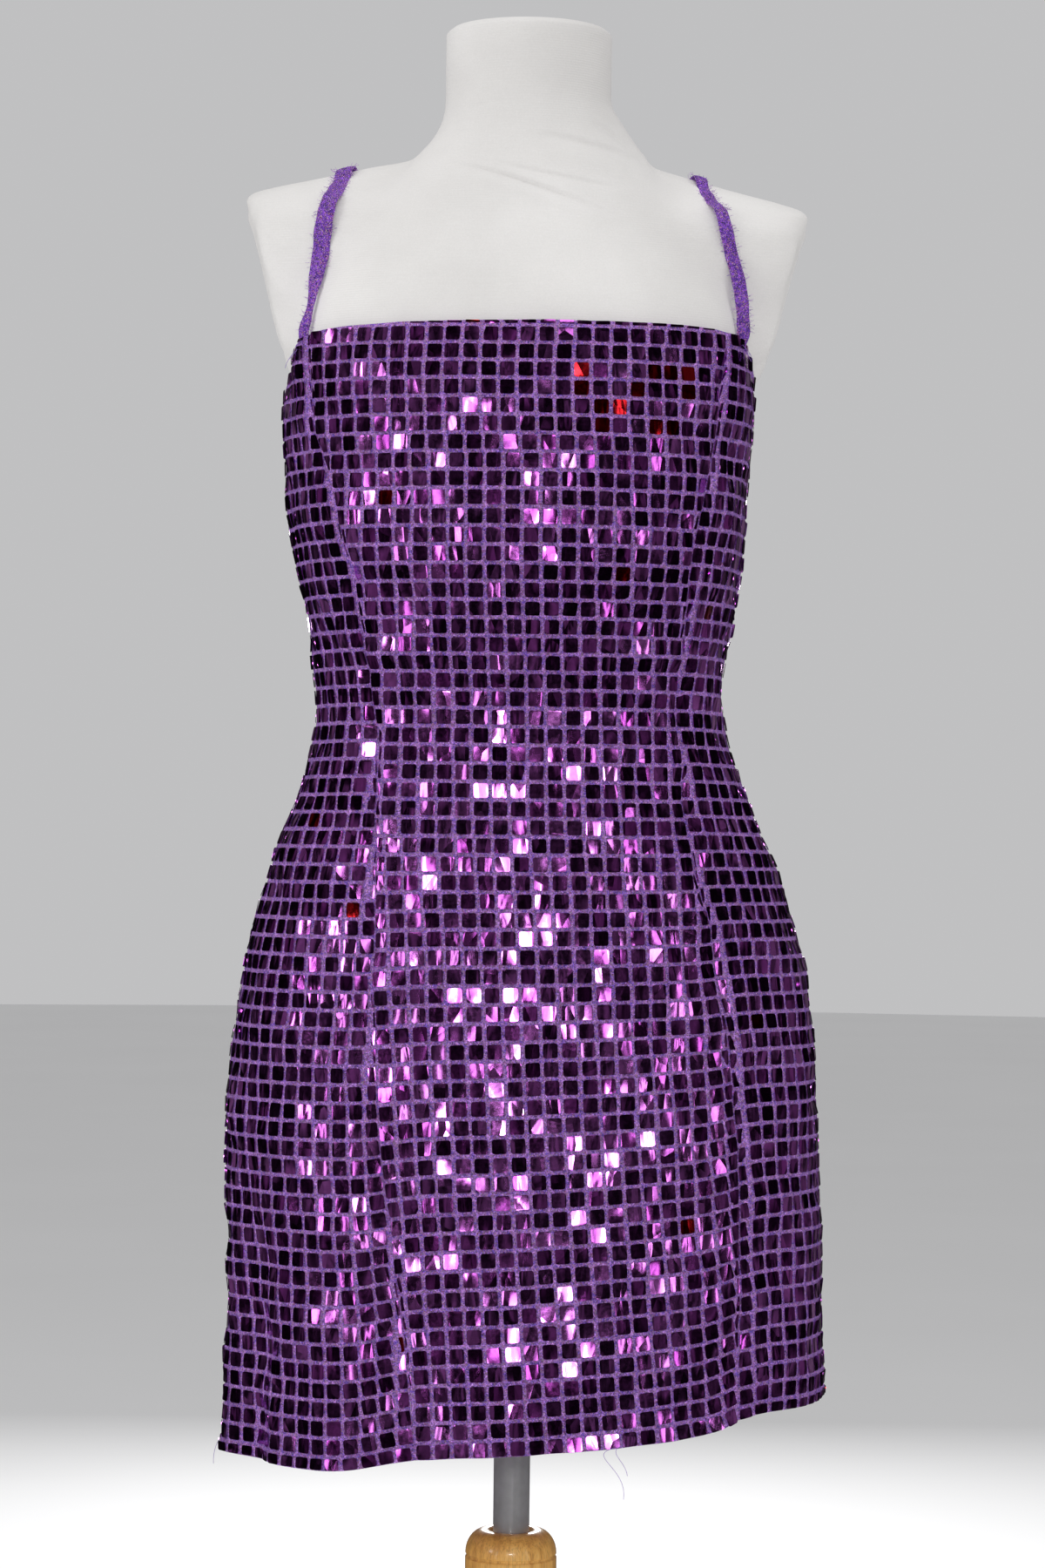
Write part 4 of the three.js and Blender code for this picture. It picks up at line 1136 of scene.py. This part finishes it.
LEANS = 4096
foil, tree, shader, place = new_material("purple_mirror_foil")
shade = wire(tree, "ShaderNodeAttribute", attribute_name="shade", attribute_type="GEOMETRY").outputs["Fac"]
red_reflection_draw = wire(tree, "ShaderNodeAttribute", attribute_name="red_reflection_draw", attribute_type="GEOMETRY").outputs["Fac"]
hues = colour_run(tree, shade, (0.0, (0.42, 0.07, 0.46)), (1.0, (0.66, 0.20, 0.74)))
# Picked squares get a deep red foil colour: a painted reflection of a red thing in the room.
shows_red_reflection = maths(tree, "GREATER_THAN", red_reflection_draw, RED_REFLECTION_LIMIT)
tree.links.new(blended(tree, shows_red_reflection, hues, (0.52, 0.014, 0.022, 1)), shader.inputs["Base Color"])
slanted = wire(tree, "ShaderNodeMapping", {
    "Vector": place, "Rotation": (0.4, 0.7, 0.5), "Scale": (1, 1, 0.35)}).outputs[0]
creased = noise(tree, slanted, 75.0, 2.0, Roughness=0.4, Distortion=0.9)
facets = wire(tree, "ShaderNodeTexVoronoi", {"Vector": slanted, "Scale": 88.0}, feature="F1")
crumpled = maths(tree, "MULTIPLY_ADD", facets.outputs["Distance"], 2.8, creased)
own_number = maths(tree, "ROUND", maths(tree, "MULTIPLY", shade, LEANS))
luck = wire(tree, "ShaderNodeTexWhiteNoise", {"W": own_number}, noise_dimensions="1D").outputs["Color"]
lean = vectors(tree, "SCALE", vectors(tree, "SUBTRACT", luck, (0.5, 0.5, 0.5)), FOIL_LEAN)
leaning = vectors(tree, "ADD", bumped(tree, crumpled, 0.35, 0.0011), lean)
tree.links.new(vectors(tree, "NORMALIZE", leaning), shader.inputs["Normal"])
tree.links.new(mapped(tree, noise(tree, place, 420.0, 4.0), 0.05, 0.20), shader.inputs["Roughness"])
shader.inputs["Metallic"].default_value = 1.0

for number, name in enumerate(PANELS):
    piece = place_copies("foil_" + name, foil_tree, foil_inputs, {
        "Square": SQUARE, "Corner": CORNER_RADIUS, "Thickness": FOIL_THICKNESS, "Lift": FOIL_LIFT,
        "Tilt": FOIL_TILT, "Crumple": FOIL_CRUMPLE, "Seed": 40 + number, "Material": foil}, panel_grid(name))
    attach(piece, "form")

# ---- Straps ------------------------------------------------------------------------------
# Two narrow bands of plain violet glitter knit, folded and rolled a little at their edges.
# They are sewn in behind the neckline corners and the back's top edge.

STRAP_HALF_DEPTH = 0.0009
STRAP_STATION = 0.0022
STRAP_TUCK = 0.007
STRAP_SETTLE = 0.0009
EDGE_ROLL = 0.00035
BAND_CORNERS = 20
CHEST_HEIGHT = 1.33
# Half width of each strap, in tenths of a millimetre, at distances from its front end: the
# right one is folded narrow where it leaves the neckline and lies flat over the shoulder.
STRAP_WIDTHS = {
    "strap_right": ((0.007, 0.019, 0.031, 0.043, 0.055, 0.070, 0.300), (35, 33, 24, 36, 52, 61, 55)),
    "strap_left": ((0.007, 0.040, 0.080, 0.120, 0.300), (43, 46, 46, 45, 52)),
}
# Distances from its front end up to which a strap faces forward, and from which it lies down.
STRAP_FACING = (0.035, 0.100)


def strap_frames(name):
    """Centre line of a packed strap with its directions across and outward, from its rings."""
    points, triangles = welded(name)
    links = [set() for _ in points]
    for a, b, c in triangles:
        links[a] |= {b, c}
        links[b] |= {a, c}
        links[c] |= {a, b}
    lid = min((i for i in range(len(points)) if len(links[i]) == 4 and points[i][1] < 0
               and np.allclose(points[list(links[i])].mean(axis=0), points[i], atol=2e-5)),
              key=lambda i: points[i][2])
    seen = {lid}
    level = set(links[lid])
    centres, sides = [], []
    while len(level) == 4:
        corners = points[sorted(level)]
        middle = corners.mean(axis=0)
        far = corners - corners[0]
        lengths = np.linalg.norm(far, axis=1)
        second = np.argsort(lengths)[2]
        centres.append(middle)
        sides.append(far[second] / lengths[second])
        seen |= level
        level = set().union(*(links[i] for i in level)) - seen
    centres, sides = np.array(centres), np.array(sides)
    along = np.gradient(centres, axis=0)
    along /= np.linalg.norm(along, axis=1, keepdims=True)
    for i in range(len(sides)):
        previous = sides[i - 1] if i else np.array([1.0, 0, 0])
        sides[i] *= 1 if sides[i] @ previous > 0 else -1
    outward = np.cross(sides, along)
    heart = centres - (0, 0, CHEST_HEIGHT)
    heart[:, 0] *= 0.3
    outward *= np.sign(np.sum(outward * heart, axis=1))[:, None]
    return centres, sides, outward


def strap_band(name):
    """A strap as a closed rounded band, with its frames along the way and its length."""
    centres, sides, outward = strap_frames(name)
    for end, index in ((0, 0), (1, -1)):
        spot = centres[index]
        angle = math.atan2(spot[1], spot[0])
        depth = FOLDED_WALL + STRAP_HALF_DEPTH + 0.0003
        rim = float(top_edge(angle))
        hidden = [dress_point(np.array(angle), np.array(rim - drop), inward=np.array(depth))
                  for drop in (STRAP_TUCK, 0.0015)]
        if end:
            centres = np.concatenate([centres, hidden[::-1]])
            sides = np.concatenate([sides, sides[-1:], sides[-1:]])
            outward = np.concatenate([outward, outward[-1:], outward[-1:]])
        else:
            centres = np.concatenate([hidden, centres])
            sides = np.concatenate([sides[:1], sides[:1], sides])
            outward = np.concatenate([outward[:1], outward[:1], outward])
    run = np.concatenate([[0], np.cumsum(np.linalg.norm(np.diff(centres, axis=0), axis=1))])
    at = np.linspace(0, run[-1], int(run[-1] / STRAP_STATION))
    centres, sides, outward = (smooth_curve(run, values, at) for values in (centres, sides, outward))
    forward = np.clip((STRAP_FACING[1] - at) / (STRAP_FACING[1] - STRAP_FACING[0]), 0, 1)[:, None]
    outward = outward * (1 - forward) + np.array([0, -1.0, 0]) * forward
    along = np.gradient(centres, axis=0)
    along /= np.linalg.norm(along, axis=1, keepdims=True)
    outward -= along * np.sum(outward * along, axis=1, keepdims=True)
    outward /= np.linalg.norm(outward, axis=1, keepdims=True)
    sides = np.cross(along, outward)
    centres = centres - outward * (STRAP_SETTLE * (1 - forward))
    places, tenths = STRAP_WIDTHS[name]
    half = smooth_curve(places, np.array(tenths) * 1e-4, np.clip(at, places[0], places[-1]), held=True)
    half = half * (1 + 0.03 * np.sin(at * 165) + 0.025 * np.sin(at * 386 + 1))
    thick = STRAP_HALF_DEPTH * (half.max() / half) ** 0.6
    rows = []
    for i in range(len(at)):
        ring = []
        for step in range(BAND_CORNERS):
            turn = math.tau * step / BAND_CORNERS
            u = abs(math.cos(turn)) ** 0.7 * math.copysign(1, math.cos(turn))
            v = abs(math.sin(turn)) ** 0.8 * math.copysign(1, math.sin(turn))
            ring.append(centres[i] + sides[i] * u * half[i] + outward[i] * (v * thick[i] - EDGE_ROLL * u * u))
        rows.append(np.array(ring))
    return lofted("knit_" + name, rows), centres, sides, outward, half, run[-1]


strap_knit = glitter_knit("violet_strap_knit", (0.11, 0.025, 0.38, 1), (0.36, 0.10, 0.84, 1), 0.24)
strap_parts = {}
for name in ("strap_left", "strap_right"):
    piece, centres, sides, outward, half, length = strap_band(name)
    piece.data.materials.append(strap_knit)
    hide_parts(name)
    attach(piece, "form")
    strap_parts[name] = (piece, centres, sides, outward, half, length)

# ---- Stitches ----------------------------------------------------------------------------
# A row of violet thread stitches holds the fold of the hem and shows on both faces. A like
# row holds the fold of the top edge and shows only inside.

STITCH_LENGTH = 0.0026
STITCH_PITCH = 0.0033
THREAD_RADIUS = 0.00026
HEM_STITCH_HEIGHT = 0.0088

stitch_tree, given, stitch_inputs, finish_tree = copies_tree("stitches", {
    "Length": "Float", "Thread": "Float", "Sag": "Float"})
grain_of_rice = wire(stitch_tree, "GeometryNodeMeshUVSphere", {"Segments": 6, "Rings": 5, "Radius": 1.0})


def lay_stitches(geometry):
    """Stretches each ball into a stitch whose ends sink into the cloth."""
    local = wire(stitch_tree, "ShaderNodeSeparateXYZ", {0: stored(stitch_tree, "local")})
    half_length = maths(stitch_tree, "MULTIPLY", given.outputs["Length"], 0.5)
    x = maths(stitch_tree, "MULTIPLY", local.outputs[2], half_length)
    y = maths(stitch_tree, "MULTIPLY", local.outputs[0], given.outputs["Thread"])
    number = stored(stitch_tree, "number", "INT")
    skew = drawn(stitch_tree, -0.12, 0.12, number, given.outputs["Seed"], 3)
    y = maths(stitch_tree, "ADD", y, maths(stitch_tree, "MULTIPLY", x, skew))
    bend = maths(stitch_tree, "POWER", local.outputs[2], 2.0)
    sag = maths(stitch_tree, "MULTIPLY", bend, given.outputs["Sag"])
    z = maths(stitch_tree, "MULTIPLY", local.outputs[1], given.outputs["Thread"])
    z = maths(stitch_tree, "SUBTRACT", z, sag)
    return on_surface(stitch_tree, geometry, x, y, z)


finish_tree(grain_of_rice.outputs["Mesh"], lay_stitches)

thread, tree, shader, place = new_material("violet_thread")
plies = noise(tree, place, 2400.0, 2.0)
tints = blended(tree, plies, (0.10, 0.04, 0.26, 1), (0.42, 0.25, 0.75, 1))
tree.links.new(tints, shader.inputs["Base Color"])
tree.links.new(bumped(tree, plies, 0.5, 0.0002), shader.inputs["Normal"])
shader.inputs["Roughness"].default_value = 0.6


def stitch_row(edge, offset, inside):
    """Stitches all the way round at a distance from an edge, on the outer or inner face."""
    angles = np.linspace(-math.pi, math.pi, 1441)
    points = dress_point(angles, edge(angles) + offset)
    run = np.concatenate([[0], np.cumsum(np.linalg.norm(np.diff(points, axis=0), axis=1))])
    spots = np.interp(np.arange(0, run[-1] - STITCH_PITCH, STITCH_PITCH), run, angles)
    z = edge(spots) + offset
    ahead = dress_point(spots + 0.004, edge(spots + 0.004) + offset) - dress_point(spots, z)
    normal = dress_normal(spots, z)
    along = ahead - normal * np.sum(ahead * normal, axis=1, keepdims=True)
    along /= np.linalg.norm(along, axis=1, keepdims=True)
    if inside:
        centre = dress_point(spots, z, inward=np.full(len(spots), FOLDED_WALL))
        normal = -normal
    else:
        centre = dress_point(spots, z) + normal * 0.0001
    upward = np.cross(normal, along)
    return {"centre": centre + normal * 0.0001, "across": along, "upward": upward, "outward": normal}


rows = [stitch_row(hem_edge, HEM_STITCH_HEIGHT, False), stitch_row(hem_edge, HEM_STITCH_HEIGHT, True),
        stitch_row(top_edge, -HEM_STITCH_HEIGHT, True)]
points = {key: np.concatenate([row[key] for row in rows]) for key in rows[0]}
stitches = place_copies("edge_stitches", stitch_tree, stitch_inputs, {
    "Length": STITCH_LENGTH, "Thread": THREAD_RADIUS, "Sag": THREAD_RADIUS * 1.6, "Seed": 5,
    "Material": thread}, points)
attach(stitches, "form")

# ---- Loose fibres and thread ends --------------------------------------------------------
# The metal yarn frays: short bright fibres stand off the straps' edges, and a few cut thread
# ends curl out at the neckline corners, the seams' feet and the hem.

FIBRE_LENGTH = 0.0052
FIBRE_RADIUS = 0.00013
FIBRE_BEND = 0.0018
FIBRES_PER_METRE = 1300
FIBRES_ON_EDGES = 0.65

fibre_tree, given, fibre_inputs, finish_tree = copies_tree("fibres", {
    "Length": "Float", "Radius": "Float", "Bend": "Float"})
straw = wire(fibre_tree, "GeometryNodeMeshCylinder", {
    "Vertices": 3, "Side Segments": 5, "Radius": 1.0, "Depth": 1.0}, fill_type="NGON")


def lay_fibres(geometry):
    """Gives each straw its own length and bend away from where it grows."""
    local = wire(fibre_tree, "ShaderNodeSeparateXYZ", {0: stored(fibre_tree, "local")})
    number = stored(fibre_tree, "number", "INT")
    seed = given.outputs["Seed"]
    share = drawn(fibre_tree, 0.25, 1.0, number, seed, 1)
    length = maths(fibre_tree, "MULTIPLY", given.outputs["Length"], share)
    up = maths(fibre_tree, "ADD", local.outputs[2], 0.5)
    rounding = maths(fibre_tree, "POWER", up, 2.0)
    curl = maths(fibre_tree, "MULTIPLY", rounding, given.outputs["Bend"])
    lean_x = maths(fibre_tree, "MULTIPLY", curl, drawn(fibre_tree, -1.0, 1.0, number, seed, 7))
    lean_y = maths(fibre_tree, "MULTIPLY", curl, drawn(fibre_tree, -1.0, 1.0, number, seed, 13))
    thick = given.outputs["Radius"]
    x = maths(fibre_tree, "ADD", maths(fibre_tree, "MULTIPLY", local.outputs[0], thick), lean_x)
    y = maths(fibre_tree, "ADD", maths(fibre_tree, "MULTIPLY", local.outputs[1], thick), lean_y)
    drop = maths(fibre_tree, "SUBTRACT", 1.0, maths(fibre_tree, "MULTIPLY", rounding, 0.25))
    z = maths(fibre_tree, "MULTIPLY", maths(fibre_tree, "MULTIPLY", up, length), drop)
    return on_surface(fibre_tree, geometry, x, y, z)


finish_tree(straw.outputs["Mesh"], lay_fibres)

tinsel, tree, shader, place = new_material("violet_tinsel")
flakes = noise(tree, place, 700.0, 2.0)
tints = colour_run(tree, flakes, (0.4, (0.16, 0.06, 0.42)), (0.62, (0.75, 0.42, 0.85)))
tree.links.new(tints, shader.inputs["Base Color"])
shader.inputs["Metallic"].default_value = 0.4
shader.inputs["Roughness"].default_value = 0.45


def fibre_roots(centres, sides, outward, half):
    """Roots spread at random over a strap, most of them on its two edges."""
    run = np.concatenate([[0], np.cumsum(np.linalg.norm(np.diff(centres, axis=0), axis=1))])
    count = int(run[-1] * FIBRES_PER_METRE)
    at = chance.random(count) * run[-1]
    centre, side, front, width = (smooth_curve(run, values, at) for values in (centres, sides, outward, half))
    edge = np.where(chance.random(count) < FIBRES_ON_EDGES, np.sign(chance.random(count) - 0.5) * 0.96,
                    chance.random(count) * 1.8 - 0.9)
    root = centre + side * (edge * width)[:, None] + front * (STRAP_HALF_DEPTH * 0.3)
    grow = side * (edge * 1.2)[:, None] + front * (0.35 + 0.9 * (1 - np.abs(edge)))[:, None]
    grow += (chance.random((count, 3)) - 0.5) * 0.9
    grow /= np.linalg.norm(grow, axis=1, keepdims=True)
    across = np.cross(grow, (0.3, 0.5, 0.81))
    across /= np.linalg.norm(across, axis=1, keepdims=True)
    return {"centre": root, "across": across, "upward": np.cross(grow, across), "outward": grow}


for number, name in enumerate(strap_parts):
    _, centres, sides, outward, half, _ = strap_parts[name]
    inside = slice(5, -5)
    roots = fibre_roots(centres[inside], sides[inside], outward[inside], half[inside])
    piece = place_copies("fibres_" + name, fibre_tree, fibre_inputs, {
        "Length": FIBRE_LENGTH, "Radius": FIBRE_RADIUS, "Bend": FIBRE_BEND, "Seed": 90 + number,
        "Material": tinsel}, roots)
    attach(piece, "form")

# Cut thread ends: where each starts, as an angle and a distance from an edge, its length,
# and which edge it hangs from.
THREAD_ENDS = [
    (-163, 0.004, 0.022, "top"), (-160, 0.006, 0.014, "top"), (-157, 0.003, 0.010, "top"),
    (-21, 0.004, 0.018, "top"), (-18, 0.006, 0.012, "top"),
    (-61, 0.001, 0.034, "hem"), (-59, 0.002, 0.020, "hem"), (-178, 0.002, 0.016, "hem"),
    (92, 0.001, 0.024, "hem"), (89, 0.002, 0.015, "hem"),
]
THREAD_END_RADIUS = 0.00016
THREAD_END_STEPS = 18
THREAD_END_SIDES = 5
ends_shape = bmesh.new()
for angle, offset, length, edge in THREAD_ENDS:
    turn = math.radians(angle)
    line = top_edge if edge == "top" else hem_edge
    level = float(line(turn)) - offset * (1 if edge == "top" else -1)
    normal = dress_normal(np.array(turn), np.array(level))
    root = dress_point(np.array(turn), np.array(level)) + normal * 0.0006
    tangent = np.array([-math.sin(turn), math.cos(turn), 0])
    curl_a, curl_b = chance.random(2) * math.tau
    fall = np.array([0, 0, -length]) * (1 if edge == "hem" else 0.55)
    path = []
    for step in range(THREAD_END_STEPS + 1):
        t = step / THREAD_END_STEPS
        swing = math.sin(curl_a + 5.5 * t) - math.sin(curl_a)
        roll = math.cos(curl_b + 4.0 * t) - math.cos(curl_b)
        path.append(root + normal * (0.0035 * t + 0.001 * abs(roll) * t) + tangent * swing * length * 0.22
                    + fall * (t - 0.28 * math.sin(3.1 * t)))
    previous = None
    for step, spot in enumerate(path):
        ahead = path[min(step + 1, THREAD_END_STEPS)] - path[max(step - 1, 0)]
        ahead /= np.linalg.norm(ahead)
        first = np.cross(ahead, normal)
        first /= np.linalg.norm(first)
        second = np.cross(ahead, first)
        ring = [ends_shape.verts.new(spot + THREAD_END_RADIUS * (first * math.cos(a) + second * math.sin(a)))
                for a in (math.tau * k / THREAD_END_SIDES for k in range(THREAD_END_SIDES))]
        if previous:
            for k in range(THREAD_END_SIDES):
                nxt = (k + 1) % THREAD_END_SIDES
                ends_shape.faces.new((previous[k], previous[nxt], ring[nxt], ring[k]))
        else:
            ends_shape.faces.new(ring[::-1])
        previous = ring
    ends_shape.faces.new(previous)
thread_ends = finished("thread_ends", ends_shape)
thread_ends.data.materials.append(thread)
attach(thread_ends, "form")

# ---- Cloth as it was cut -----------------------------------------------------------------
# Each panel is cut with a seam allowance at its sides and a fold at both ends. A strap is a
# single strip a little wider than the band that shows, with its edges rolled in.

for name in PANELS:
    cut_width, cut_length, area = flat_cut(name)
for name, (piece, _, _, _, half, length) in strap_parts.items():
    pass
